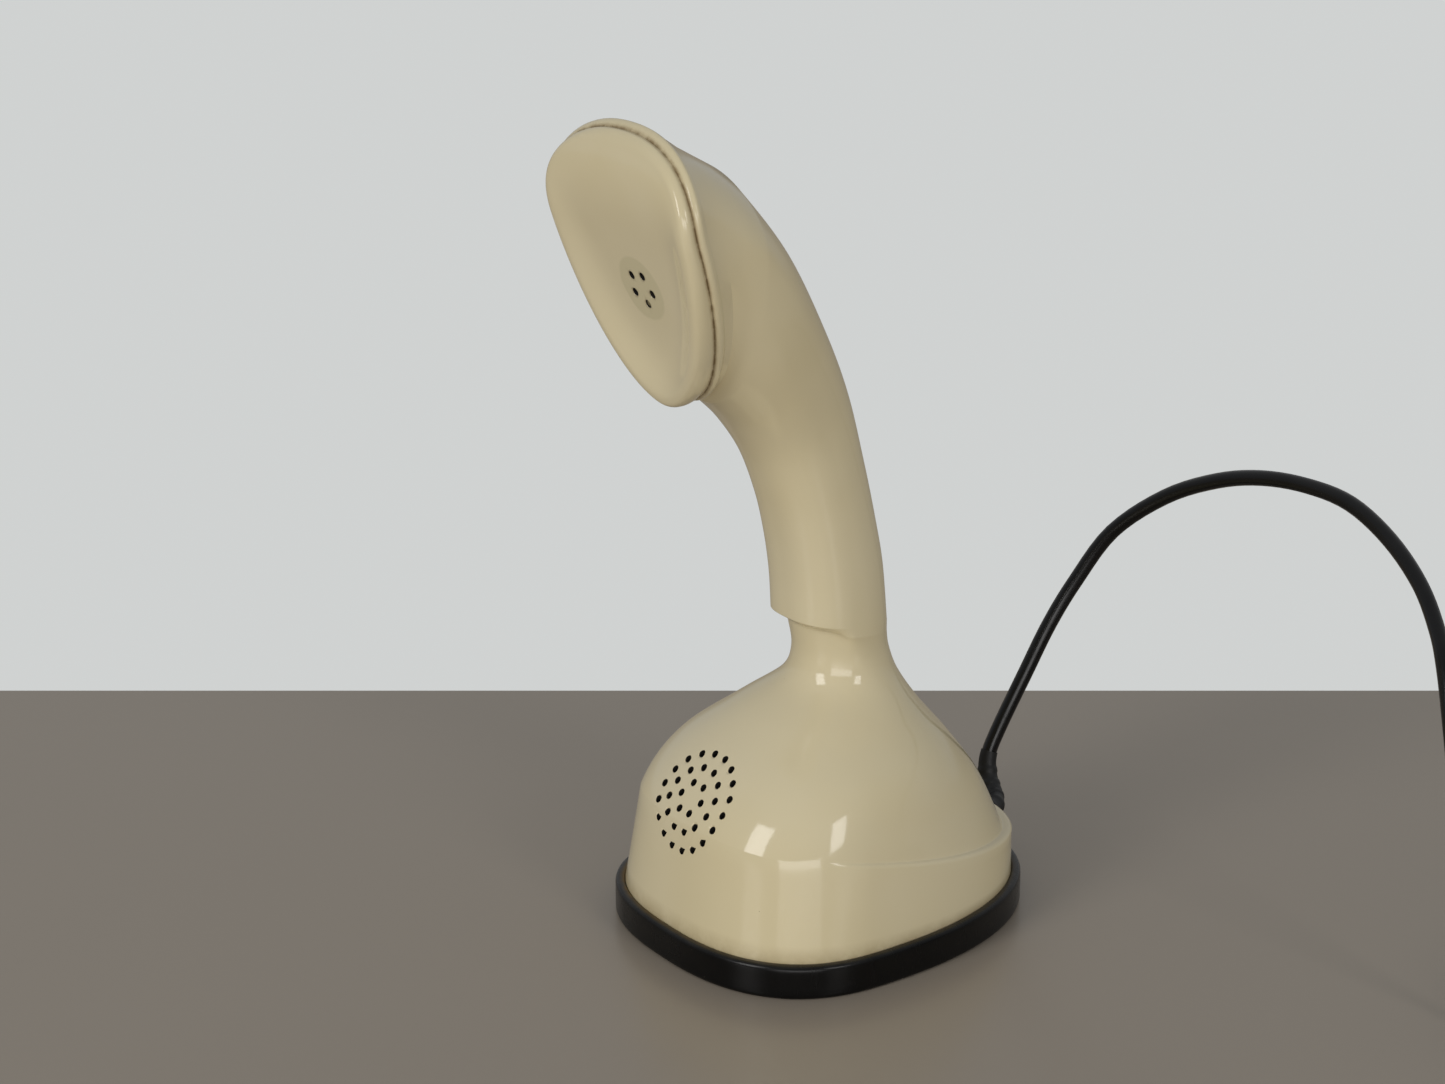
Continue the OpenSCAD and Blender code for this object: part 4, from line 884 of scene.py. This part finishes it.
# ---- Operators ----
class PHONE_OT_camera(bpy.types.Operator):
    """Set up the camera in front and to the right of the telephone"""
    bl_idname = "phone.camera"
    bl_label = "Set Up Camera"

    def execute(self, context):
        deselect()
        bpy.ops.object.camera_add(location=(0.661, -0.498 + BASE_Y * MM, 0.393),
                                  rotation=(math.radians(71.0706), 0, math.radians(55.0816)))
        camera = bpy.context.object
        camera.name = "Camera"
        camera.data.lens = context.scene.phone_stage.lens
        camera.data.sensor_width = 36
        camera.data.clip_start = 0.01
        context.scene.camera = camera
        return {"FINISHED"}


def cord_points(diameter):
    """The cord's line: out of the shell, along its route, round the coil and into the plug."""
    d = diameter / MM
    points = [np.array((0, EXIT_Y - 1.0, CORD_EXIT_Z), float)]
    points += [through(CORD_ROUTE, u) for u in np.arange(0, len(CORD_ROUTE) - 1, ROUTE_STEP)]
    points.append(np.array(COIL_LEAD))
    inner = COIL_INNER * d
    crossings, ends = [], COIL_START + 2 * math.pi      # the turn at which each crossing ends
    for corner in CORNERS:
        ends -= COIL_CROSSING * corner
        crossings.append(ends)
        ends += 2 * math.pi
    leaves = 2 * math.pi * math.ceil(crossings[-1] / (2 * math.pi))
    turn = COIL_ENTRY
    while turn < leaves - 1e-9:
        out, up = TURNS[0]
        for k, end in enumerate(crossings):
            t = min(1, max(0, (turn - end + COIL_CROSSING) / COIL_CROSSING))
            t = t * t * (3 - 2 * t)
            out += (TURNS[k + 1][0] - TURNS[k][0]) * t
            up += (TURNS[k + 1][1] - TURNS[k][1]) * t
        reach = inner + out * d
        points.append(np.array([COIL_AT[0] + reach * math.cos(turn), COIL_AT[1] + reach * math.sin(turn),
                                d / 2 + up * d]))
        turn += COIL_STEP
    x, top = COIL_AT[0] + inner + 2 * d, d / 2 + 2 * d
    points += [np.array([x, COIL_AT[1] + dy, top - fall]) for dy, fall in PLUG_LEAD]
    points = np.array(points) + [0, BASE_Y, 0]
    points[:, 2] = np.maximum(points[:, 2], d / 2 + TABLE_CLEARANCE)
    return points


class PHONE_OT_cord(bpy.types.Operator):
    """Lay the cord with its strain relief, coil, tie and plug"""
    bl_idname = "phone.cord"
    bl_label = "Lay Cord"

    def execute(self, context):
        sizes = context.scene.phone_sizes
        points = cord_points(sizes.cord_diameter)
        line = bpy.data.curves.new("cord", "CURVE")
        line.dimensions = "3D"
        line.bevel_depth = sizes.cord_diameter / 2
        line.bevel_resolution = 4
        line.use_fill_caps = True
        spline = line.splines.new("POLY")
        spline.points.add(len(points) - 1)
        for p, at in zip(spline.points, points * MM):
            p.co = (*at, 1)
        spline.use_smooth = True
        cord = bpy.data.objects.new("cord", line)
        context.scene.collection.objects.link(cord)
        cord.data.materials.append(FINISHES["cord"])
        put(cord, "root", "cord", "cord_tube", "cord_coil")
        relief = self.relief()
        tie = self.tie()
        plug, pins = self.plug()
        return {"FINISHED"}

    def relief(self):
        """Tapered rubber relief with rings, following the cord."""
        count, sides = 46, 24
        reach = 4.2                               # the route's points that it covers
        rings = []
        for i in range(count + 1):
            s = i / count
            u = reach * s
            p = through(CORD_ROUTE, u)
            t = through(CORD_ROUTE, u + 0.05) - through(CORD_ROUTE, max(0, u - 0.05))
            t /= np.linalg.norm(t)
            a = np.cross(t, (0.5, -0.85, 0.1))
            a /= np.linalg.norm(a)
            b = np.cross(t, a)
            r = 3.7 + (2.5 - 3.7) * s + (0.22 if i % 8 in (4, 5, 6) and i < 42 else 0)
            turn = np.arange(sides) * 2 * math.pi / sides
            rings.append(p + r * (np.cos(turn)[:, None] * a + np.sin(turn)[:, None] * b))
        relief = skin("cord_relief", np.array(rings) + [0, BASE_Y, 0], looped=False)
        smooth(relief, 50)
        flange = settle(self.flange())
        relief = joined("cord_relief", [relief, flange])
        dress(relief, "rubber_part")
        return put(relief, "root", "black_rubber", "cord_grommet")

    def flange(self):
        flange = cylinder(5.4 * MM, -0.8 * MM, 0.8 * MM, sides=48)
        rounded(flange, 0.5 * MM, 3)
        flange.data.transform(Matrix.Rotation(math.radians(-90), 4, "X"))
        flange.data.transform(Matrix.Translation(Vector((0, EXIT_Y + 0.8 + BASE_Y, CORD_EXIT_Z)) * MM))
        return smooth(flange, 40)

    def tie(self):
        """A band over the turns of the coil, its ends tucked in at the table."""
        low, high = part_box("coil_tie")
        middle = (low + high) / 2
        width, half, top = high.x - low.x, (high.y - low.y) / 2 - 0.0005, high.z - 0.0005
        corner = 0.0035
        path = [(-half, 0.0006), (-half, top - corner)]
        path += [(-half + corner * (1 - math.cos(a)), top - corner * (1 - math.sin(a)))
                 for a in np.linspace(0.2, math.pi / 2, 6)]
        path += [(-y, z) for y, z in reversed(path)]
        deselect()
        bpy.ops.mesh.primitive_grid_add(x_subdivisions=4, y_subdivisions=len(path) - 1, size=1)
        tie = named("coil_tie_band")
        for v in tie.data.vertices:
            y, z = path[round((v.co.y + 0.5) * (len(path) - 1))]
            v.co = (middle.x + v.co.x * width, middle.y + y, z)
        with_modifier(tie, "SOLIDIFY", thickness=0.0009, offset=0)
        rounded(tie, 0.0002, 2)
        smooth(clean(tie), 40)
        dress(tie, "coil_tie")
        return put(tie, "root", "coil_tie", "coil_tie")

    def plug(self):
        """Flat four-pin plug with a ribbed grip and a cord sleeve."""
        low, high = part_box("plug_body")
        body_low = Vector((low.x, high.y - 0.030, low.z))
        body = block((high.x - low.x, 0.030, high.z - low.z), (body_low + high) / 2)
        middle = (body_low + high) / 2
        for v in body.data.vertices:             # narrower towards the cord
            if v.co.y < middle.y:
                v.co.x = middle.x + (v.co.x - middle.x) * 0.72
                v.co.z = middle.z + (v.co.z - middle.z) * 0.8
        rounded(body, 0.0022, 4)
        grooves = [block((0.03, 0.0012, 0.0012), (middle.x, body_low.y + 0.006 + 0.003 * k, z))
                   for k in range(4) for z in (high.z - 0.0004, low.z + 0.0004)]
        cut(body, joined("cutter", grooves))
        x, y = middle.x, low.y
        rings = []
        for s in np.linspace(0, 1, 22):
            r = 2.6 + 1.9 * s + (0.25 if int(s * 21) % 4 in (2, 3) else 0)
            z = 5.3 - 1.3 * min(1, s * 1.3)
            turn = np.arange(24) * 2 * math.pi / 24
            rings.append(np.stack([x / MM + r * np.cos(turn), np.full(24, y / MM + 19 * s),
                                   z + r * np.sin(turn)], -1))
        sleeve = skin("sleeve", np.array(rings), looped=False)
        smooth(sleeve, 50)
        smooth(body, 40)
        plug = joined("plug_moulding", [body, sleeve])
        dress(plug, "plug")
        put(plug, "root", "plug", "plug_body")
        pin_low, pin_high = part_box("plug_pins")
        radius = (pin_high.z - pin_low.z) / 2
        pins = []
        for k in range(4):
            at = (pin_low.x + radius + k * (pin_high.x - pin_low.x - 2 * radius) / 3)
            pin = cylinder(radius, 0, pin_high.y - pin_low.y, sides=32)
            rounded(pin, radius * 0.6, 4, 60)
            pin.data.transform(Matrix.Rotation(math.radians(-90), 4, "X"))
            pin.data.transform(Matrix.Translation((at, pin_low.y, pin_low.z + radius)))
            pins.append(smooth(pin, 50))
        pins = joined("plug_pin_set", pins)
        dress(pins, "brass")
        put(pins, "root", "brass", "plug_pins")
        return plug, pins


class PHONE_OT_shell(bpy.types.Operator):
    """Mould the one-piece shell with its microphone holes and inner bosses"""
    bl_idname = "phone.shell"
    bl_label = "Mould Shell"

    def execute(self, context):
        shell = skin("housing_shell", shell_rings(), looped=True)
        spots = []
        for ring in (1, 2, 3):
            for i in range(6 * ring):
                a = 2 * math.pi * (i + (0.5 if ring == 2 else 0)) / (6 * ring)
                spots.append((MIC_PITCH * ring * math.cos(a) * MM, MIC_PITCH * ring * math.sin(a) * MM))
        flare = context.scene.phone_sizes.hole_flare
        holes = drill(shell, mic_place(), spots, MIC_HOLE_R * MM, flare, 0.009)
        bore = cylinder(4.2 * MM, -0.012, 0.012, sides=48)
        bore.data.transform(Matrix.Rotation(math.radians(90), 4, "X"))
        bore.data.transform(Matrix.Translation(Vector((0, EXIT_Y + BASE_Y, CORD_EXIT_Z)) * MM))
        cut(shell, bore)
        smooth(shell, 32)
        near_line(shell, "seam_dirt", (mouth_ring(-0.4, 0.0) + [0, BASE_Y, 0]) * MM, 0.0007)
        near_line(shell, "foot_dirt", (foot_ring(FOOT_LEDGE, FOOT_HEIGHT) + [0, BASE_Y, 0]) * MM, 0.0007)
        dress(shell, "ivory_shell")
        # The walls of the microphone holes get painted shade.
        darken_holes(shell, holes, MIC_HOLE_R * MM)
        put(shell, "root", "ivory_plastic", "housing")
        self.bosses(shell)
        return {"FINISHED"}

    def bosses(self, shell):
        low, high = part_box("shell_screws")
        head = 0.0026
        spots = [(0, low.y + head, -1), (low.x + head, high.y - head, 1), (high.x - head, high.y - head, 1)]
        bosses = []
        for x, y, side in spots:
            boss = tube(0.0034, 0.0015, 0.0066, 0.0186, (x, y), 48)
            rounded(boss, 0.0004, 2)
            long = 0.0018 if side < 0 else 0.008
            rib = block((0.002, long, 0.012), (x, y + side * (0.0028 + long / 2), 0.0126))
            rounded(rib, 0.0003, 2)
            bosses += [smooth(boss, 40), smooth(rib, 40)]
        bosses = joined("shell_bosses", bosses)
        dress(bosses, "ivory_shell")
        put(bosses, "root", "ivory_plastic")


class PHONE_OT_ear_cap(bpy.types.Operator):
    """Mould the ear cap with its dish, holes and posts"""
    bl_idname = "phone.ear_cap"
    bl_label = "Mould Ear Cap"

    def execute(self, context):
        back = [dish_ring((1.0, 0.0), CAP_WALL, reach) for reach in (0.3, 3.0)]
        back += [dish_ring(d, CAP_WALL) for d in reversed(DISH[1:])]
        back += [mouth_ring(-0.6 - CAP_WALL, CAP_SEAM + 0.3), mouth_ring(-0.4 - CAP_WALL, CAP_SEAM)]
        edge = [mouth_ring(-0.4, CAP_SEAM)] + [cap_ring(r) for r in CAP_RINGS]
        edge += [dish_ring(d) for d in DISH]
        front = eased(edge, 3)
        front += [dish_ring((1.0, 0.0), 0, reach) for reach in (8.6, 7.5, 6, 4.5, 3, 1.5, 0.3)]
        cap = skin("ear_cap", np.array(back + front) + [0, BASE_Y, 0], looped=False)
        spots = [(EAR_HOLE_CIRCLE * MM * math.cos(a), EAR_HOLE_CIRCLE * MM * math.sin(a))
                 for a in np.radians(EAR_HOLE_TURN + 72 * np.arange(5))]
        flare = context.scene.phone_sizes.hole_flare
        holes = drill(cap, ear_place(0), spots, EAR_HOLE_R * MM, flare, 0.006)
        smooth(cap, 32)
        at, across, up, out = ear_place(EAR_DISC_OUT)
        rim = EAR_HOLE_R * MM
        rims = [at + across * (x + rim * math.cos(a)) + up * (y + rim * math.sin(a))
                for x, y in spots for a in np.linspace(0, 2 * math.pi, 16)]
        near_line(cap, "seam_dirt", (mouth_ring(-0.4, 0.05) + [0, BASE_Y, 0]) * MM, 0.0006)
        # Darkens the ear holes' mouths: dirt and painted shade.
        near_line(cap, "hole_dirt_and_shade", rims, 0.0003)
        posts = []
        for turn in (20, 160, 270):
            a = math.radians(turn)
            x, y = 0.0215 * math.cos(a), 0.0215 * math.sin(a)
            post = tube(0.0022, 0.001, -0.0104, 0.0008, (0, 0), 32)
            base = ear_place(-1.8)
            post.data.transform(place_matrix(base[0] + across * x + up * y, across, up, out))
            posts.append(smooth(post, 40))
        cap = joined("ear_cap_shell", [cap] + posts)
        dress(cap, "ivory_cap")
        # The walls of the ear holes get painted shade.
        darken_holes(cap, holes, EAR_HOLE_R * MM)
        put(cap, "root", "ivory_plastic", "ear_cap")
        self.filled_hole(spots[0], (at, across, up, out))
        return {"FINISHED"}

    def filled_hole(self, spot, place):
        """The lowest ear hole is stopped up with old dirt."""
        at, across, up, out = place
        deselect()
        bpy.ops.mesh.primitive_uv_sphere_add(segments=24, ring_count=12, radius=(EAR_HOLE_R - 0.03) * MM)
        plug = settle(named("ear_hole_dirt"))
        plug.data.transform(Matrix.Diagonal((1, 1, 0.45, 1)))
        bpy.ops.object.mode_set(mode="EDIT")
        bpy.ops.mesh.select_all(action="SELECT")
        bpy.ops.transform.vertex_random(offset=0.00008, seed=3)
        bpy.ops.object.mode_set(mode="OBJECT")
        middle = at + across * spot[0] + up * spot[1] - out * 0.00075
        plug.data.transform(place_matrix(middle, across, up, out))
        smooth(plug, 60)
        dress(plug, "ear_dirt")
        put(plug, "root", "ivory_plastic")


class PHONE_OT_foot(bpy.types.Operator):
    """Mould the rubber foot ring"""
    bl_idname = "phone.foot"
    bl_label = "Make Foot"

    def execute(self, context):
        h = FOOT_HEIGHT
        profile = [(1.5, 0), (0.9, 0.05), (0.6, 0.12), (0.25, 0.4), (0.05, 0.9), (0, 1.4), (0, 3), (0, 5),
                   (0, 7),
                   (0, h - 1.5), (0.06, h - 0.9), (0.22, h - 0.45), (0.5, h - 0.15), (0.9, h - 0.02), (1.5, h),
                   (FOOT_LEDGE - 0.5, h), (FOOT_LEDGE - 0.2, h - 0.06), (FOOT_LEDGE - 0.05, h - 0.25),
                   (FOOT_LEDGE, h - 0.6), (FOOT_LEDGE, PLATE_Z + 0.5), (FOOT_LEDGE, PLATE_Z),
                   (SHELF_IN - 0.4, PLATE_Z), (SHELF_IN - 0.1, PLATE_Z - 0.15), (SHELF_IN, PLATE_Z - 0.5),
                   (SHELF_IN, 0.6), (SHELF_IN - 0.15, 0.2), (SHELF_IN - 0.6, 0)]
        turn = np.arange(192) * 2 * math.pi / 192
        rings = np.array([foot_ring(inset, z, turn) for inset, z in profile]) + [0, BASE_Y, 0]
        foot = skin("rubber_foot", rings, looped=True)
        smooth(foot, 50)
        ledge = foot_ring(FOOT_LEDGE - 0.2, h, turn) + [0, BASE_Y, 0]
        front_left = np.exp(-((turn - math.radians(235)) / math.radians(48)) ** 2)
        near_line(foot, "ledge_dirt", ledge * MM, 0.0009)
        values = np.empty(len(foot.data.vertices))
        foot.data.attributes["ledge_dirt"].data.foreach_get("value", values)
        co = corners(foot)
        around = np.arctan2(co[:, 1] - BASE_Y * MM, co[:, 0]) % (2 * math.pi)
        share = 0.25 + 0.75 * np.interp(around, turn, front_left)
        foot.data.attributes["ledge_dirt"].data.foreach_set("value", values * share)
        dress(foot, "black_rubber")
        put(foot, "root", "black_rubber", "base_ring")
        return {"FINISHED"}


class PHONE_OT_dial(bpy.types.Operator):
    """Make the finger wheel, the number ring with its numerals and the finger stop"""
    bl_idname = "phone.dial"
    bl_label = "Make Dial"

    def execute(self, context):
        sizes = context.scene.phone_sizes
        x, y = DIAL_AT.x, DIAL_AT.y
        low, thick = DIAL_LOW.z, 0.0022
        hub_in, hub_out = 0.0090, 0.0108
        circle, hole = WHEEL_R - 0.0075, 0.0058
        wheel = cylinder(WHEEL_R, low, low + thick, (x, y), 192)
        holes = [cylinder(hub_in, low - 0.01, low + 0.02, (x, y), 96)]
        for i in range(10):
            a = math.radians(FIRST_HOLE - FINGER_STEP * i)
            holes.append(cylinder(hole, low - 0.01, low + 0.02,
                                  (x + circle * math.cos(a), y + circle * math.sin(a)), 64))
        cut(wheel, joined("cutter", holes))
        rounded(wheel, sizes.edge_rounding, 3)
        hub = tube(hub_out, hub_in, low + 0.001, DIAL_HIGH.z, (x, y), 96)
        rounded(hub, 0.0002, 2)
        groove = tube(circle + hole + 0.0009, circle + hole + 0.0006, low - 0.001, low + 0.00015,
                      (x, y), 192)
        cut(wheel, groove)
        smooth(wheel, 35)
        smooth(hub, 35)
        wheel = joined("finger_wheel_moulding", [wheel, hub])
        dress(wheel, "finger_wheel")
        put(wheel, "dial", "finger_wheel", "finger_wheel")
        dress(NODES["number_plate"], "number_plate")
        self.numerals(circle, sizes.numeral_height)
        stop = self.softened("finger_stop", 0.0003)
        dress(stop, "steel")
        put(stop, "root", "steel", "finger_stop")
        return {"FINISHED"}

    def softened(self, node_name, width):
        """A copy of a CAD node with its edges rounded."""
        source = NODES[node_name]
        piece = bpy.data.objects.new(node_name + "_rounded", source.data.copy())
        bpy.context.scene.collection.objects.link(piece)
        clean(piece, within=1e-6)
        pick(piece)
        bpy.ops.object.mode_set(mode="EDIT")
        bpy.ops.mesh.select_all(action="SELECT")
        bpy.ops.mesh.dissolve_limited(angle_limit=math.radians(2))
        bpy.ops.object.mode_set(mode="OBJECT")
        rounded(piece, width, 2, 40)
        return smooth(piece, 35)

    def numerals(self, circle, height):
        """Numerals on the ring, read from below through the finger holes."""
        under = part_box("number_plate")[0].z
        made = []
        for i, digit in enumerate(DIGITS):
            a = math.radians(FIRST_HOLE - FINGER_STEP * i)
            deselect()
            bpy.ops.object.text_add()
            text = bpy.context.object
            text.data.body = digit
            text.data.size = height * 1.35
            text.data.align_x, text.data.align_y = "CENTER", "CENTER"
            text.data.extrude = 0.00004
            text.data.resolution_u = 6
            bpy.ops.object.convert(target="MESH")
            piece = bpy.context.object
            co = corners(piece)
            middle = (co.min(0) + co.max(0)) / 2
            piece.data.transform(Matrix.Translation(-Vector(middle)))
            piece.data.transform(Matrix.Rotation(math.pi, 4, "X"))
            piece.data.transform(Matrix.Translation((DIAL_AT.x + circle * math.cos(a),
                                                     DIAL_AT.y + circle * math.sin(a), under - 0.00003)))
            made.append(piece)
        numerals = joined("dial_numerals", made)
        clean(numerals, outward=False)
        dress(numerals, "numerals")
        put(numerals, "root", "number_plate")


class PHONE_OT_button(bpy.types.Operator):
    """Make the red hook button in the middle of the dial"""
    bl_idname = "phone.button"
    bl_label = "Make Hook Button"

    def execute(self, context):
        low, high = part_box("hook_button")
        at = ((low.x + high.x) / 2, (low.y + high.y) / 2)
        radius = (high.x - low.x) / 2
        button = cylinder(radius, low.z, 0.007, at, 128)
        pick(button)
        bpy.ops.object.mode_set(mode="EDIT")
        bpy.ops.mesh.select_mode(type="FACE")
        bpy.ops.mesh.select_all(action="DESELECT")
        bpy.ops.object.mode_set(mode="OBJECT")
        for face in button.data.polygons:
            face.select = face.normal.z < -0.9
        bpy.ops.object.mode_set(mode="EDIT")
        bpy.ops.mesh.inset(thickness=0.0030)
        bpy.ops.mesh.inset(thickness=0.0006, depth=-0.0003)
        bpy.ops.mesh.inset(thickness=0.0006, depth=0.0003)
        bpy.ops.object.mode_set(mode="OBJECT")
        rounded(button, 0.0002, 2, 25)
        outer = corners(button)
        reach = np.hypot(outer[:, 0] - at[0], outer[:, 1] - at[1])
        crown = 0.0011 * np.clip((reach - radius + 0.003) / 0.003, 0, 1) ** 2
        near = outer[:, 2] < 0.004
        outer[near, 2] += crown[near]
        button.data.vertices.foreach_set("co", outer.ravel())
        button.data.update()
        rounded(button, 0.0003, 2, 50)
        stem = cylinder(0.003, 0.0065, high.z, at, 48)
        rounded(stem, 0.0003, 2)
        button = joined("hook_button_cap", [smooth(button, 35), smooth(stem, 35)])
        dress(button, "red_plastic")
        put(button, "hook", "red_plastic", "hook_button")
        return {"FINISHED"}


class PHONE_OT_fasteners(bpy.types.Operator):
    """Make the slotted screws in the underside"""
    bl_idname = "phone.fasteners"
    bl_label = "Make Fasteners"

    def execute(self, context):
        low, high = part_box("bottom_screws")
        head = 0.0026
        spots = [(x, y) for x in (low.x + head, high.x - head) for y in (low.y + head, high.y - head)]
        self.screws("bottom_screws", spots, low.z, high.z, "bottom_screws_slotted")
        low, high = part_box("shell_screws")
        spots = [(0, low.y + head), (low.x + head, high.y - head), (high.x - head, high.y - head)]
        self.screws("shell_screws", spots, low.z, high.z, "shell_screws_slotted")
        return {"FINISHED"}

    def screws(self, node_name, spots, low, high, name):
        shank = cylinder(0.00144, low + 0.0012, high, sides=24)
        top = cylinder(0.0026, low, low + 0.0016, sides=48)
        cut(top, block((0.0007, 0.008, 0.0016), (0, 0, low)))
        rounded(top, 0.00035, 3, 40)
        screw = joined("screw", [smooth(top, 40), smooth(shank, 40)])
        turned = [Matrix.Translation((x, y, 0)) @ Matrix.Rotation(0.7 + 1.9 * k, 4, "Z")
                  for k, (x, y) in enumerate(spots)]
        made = copies_at(screw, turned, name)
        dress(made, "screws")
        put(made, "root", "screws", node_name)


CAD_FINISHES = {
    "rubber_part": ("cap_gasket", "mic_gasket"),
    "bottom_plate": ("bottom_plate",),
    "steel": ("receiver_capsule", "receiver_clamp", "mic_capsule", "mic_bracket", "chassis_plate", "hub_clip",
              "return_spring", "governor_drum", "dial_bridge", "button_spring", "stem_clip",
              "transformer_core", "cord_clamp"),
    "screws": ("receiver_screws", "mic_bracket_screws", "dial_screws", "finger_stop_screw"),
    "brass": ("receiver_grid", "main_gear", "pinion_spindle", "governor_spindle", "governor_weights",
              "terminal_screws"),
    "copper": ("transformer_coil",),
    "grey_plastic": ("dial_base", "impulse_cam"),
    "board": ("pulse_contacts", "hook_contacts", "terminal_block"),
    "capacitor": ("capacitor",),
    "wire": ("wire_loom",),
}


class PHONE_OT_works(bpy.types.Operator):
    """Give the works inside the telephone their finishes"""
    bl_idname = "phone.works"
    bl_label = "Finish Works"

    def execute(self, context):
        for name, nodes in CAD_FINISHES.items():
            for n in nodes:
                dress(NODES[n], name)
        for n, o in NODES.items():
            if o.hide_render:
                dress(o, "grey_plastic")
            elif o.data.materials[0] not in FINISHES.values():
                raise RuntimeError("no finish for " + n)
        return {"FINISHED"}


class PHONE_OT_stage(bpy.types.Operator):
    """Set the floor, the soft window lights and the background"""
    bl_idname = "phone.stage"
    bl_label = "Set Stage"

    def execute(self, context):
        stage = context.scene.phone_stage
        facing = math.radians(55.08)
        deselect()
        bpy.ops.mesh.primitive_plane_add(size=1)
        floor = named("floor")
        away = Vector((-math.sin(facing), math.cos(facing), 0))
        side = Vector((math.cos(facing), math.sin(facing), 0))
        for v in floor.data.vertices:
            v.co = side * (v.co.x * 4.0) + away * (0.17 - (0.5 - v.co.y) * 3.2)
        floor_finish = finish("pale_floor", tuple(stage.floor_colour),
                              tuple(c * 0.96 for c in stage.floor_colour), 0.28, drift=(3, 0.5), bump=0.02,
                              rub=(4, 0.1))
        tree = floor_finish.node_tree
        shader = next(n for n in tree.nodes if n.type == "BSDF_PRINCIPLED")
        above = node(tree, "Math", {0: 1.0, 1: node(tree, "NewGeometry").outputs["Backfacing"]},
                     operation="SUBTRACT")
        tree.links.new(above.outputs[0], shader.inputs["Alpha"])
        floor.data.materials.append(floor_finish)
        floor.visible_diffuse = False             # the room's lower half stands for the light it returns
        self.panel("window_left", 8, 25, 2.0, (0.6, 1.2), stage.window_power, (1.0, 0.985, 0.97))
        self.panel("window_right", 92, 23, 2.0, (0.42, 0.8), stage.window_power * 0.42, (1.0, 0.985, 0.97))
        self.panel("soft_fill", 55, 3, 3.2, (2.6, 1.3), stage.fill_power, (1.0, 0.985, 0.97))
        self.world(context, stage)
        context.scene.view_settings.view_transform = "Standard"
        return {"FINISHED"}

    def panel(self, name, azimuth, elevation, distance, size, power, colour):
        """A soft rectangular light that looks at the telephone."""
        a, e = math.radians(azimuth), math.radians(elevation)
        back = Vector((math.sin(a) * math.cos(e), -math.cos(a) * math.cos(e), math.sin(e)))
        middle = Vector((0, 0, 0.09))
        deselect()
        bpy.ops.object.light_add(type="AREA", location=middle + back * distance)
        light = bpy.context.object
        light.name = name
        light.rotation_mode = "QUATERNION"
        light.rotation_quaternion = back.to_track_quat("Z", "Y")
        light.data.shape = "RECTANGLE"
        light.data.size, light.data.size_y = size
        light.data.energy = power
        light.data.color = colour

    def world(self, context, stage):
        """Pale background; the light from it is stronger from behind the telephone."""
        world = bpy.data.worlds.new("pale_room")
        world.use_nodes = True
        context.scene.world = world
        tree = world.node_tree
        tree.nodes.clear()
        place = node(tree, "TexCoord").outputs["Generated"]
        toward = node(tree, "VectorMath", {0: place, 1: (-0.77, 0.54, 0.2)}, operation="DOT_PRODUCT")
        strength = ramp(tree, toward.outputs["Value"], -0.6, 0.9, 0.24, 0.42)
        height = node(tree, "SeparateXYZ", {"Vector": place}).outputs["Z"]
        below = ramp(tree, height, 0.06, -0.06)
        amount = node(tree, "Mix", {"Factor": below, "A": strength, "B": 0.26}).outputs[0]
        tint = mix(tree, below, (0.96, 0.98, 1.0, 1), (1.0, 0.88, 0.72, 1))
        light = node(tree, "Background", {"Color": tint, "Strength": amount})
        seen = node(tree, "Background", {"Color": rgba(stage.wall_colour), "Strength": 1.0})
        path = node(tree, "LightPath")
        both = node(tree, "MixShader", {0: path.outputs["Is Camera Ray"], 1: light.outputs[0],
                                        2: seen.outputs[0]})
        out = node(tree, "OutputWorld")
        tree.links.new(both.outputs[0], out.inputs["Surface"])


class PHONE_PT_panel(bpy.types.Panel):
    """Sidebar panel of the telephone"""
    bl_label = "Telephone"
    bl_idname = "PHONE_PT_panel"
    bl_space_type = "VIEW_3D"
    bl_region_type = "UI"
    bl_category = "Telephone"

    def draw(self, context):
        layout = self.layout
        for group in ("phone_colours", "phone_sizes", "phone_stage"):
            settings = getattr(context.scene, group)
            column = layout.column()
            for name in settings.bl_rna.properties.keys():
                if name not in ("rna_type", "name"):
                    column.prop(settings, name)
        for operator in STEPS:
            layout.operator(operator.bl_idname)


STEPS = (PHONE_OT_camera, PHONE_OT_cord, PHONE_OT_shell, PHONE_OT_ear_cap, PHONE_OT_foot, PHONE_OT_dial,
         PHONE_OT_button, PHONE_OT_fasteners, PHONE_OT_works, PHONE_OT_stage)
SETTINGS = {"phone_colours": PhoneColours, "phone_sizes": PhoneSizes, "phone_stage": StageSettings}


def register():
    for cls in (*SETTINGS.values(), *STEPS, PHONE_PT_panel):
        bpy.utils.register_class(cls)
    for name, cls in SETTINGS.items():
        setattr(bpy.types.Scene, name, bpy.props.PointerProperty(type=cls))


def unregister():
    for name in SETTINGS:
        delattr(bpy.types.Scene, name)
    for cls in reversed((*SETTINGS.values(), *STEPS, PHONE_PT_panel)):
        bpy.utils.unregister_class(cls)


def main():
    register()
    make_finishes(bpy.context.scene.phone_colours)
    for step in STEPS:
        group, name = step.bl_idname.split(".")
        getattr(getattr(bpy.ops, group), name)()
    deselect()


if __name__ == "__main__":
    main()
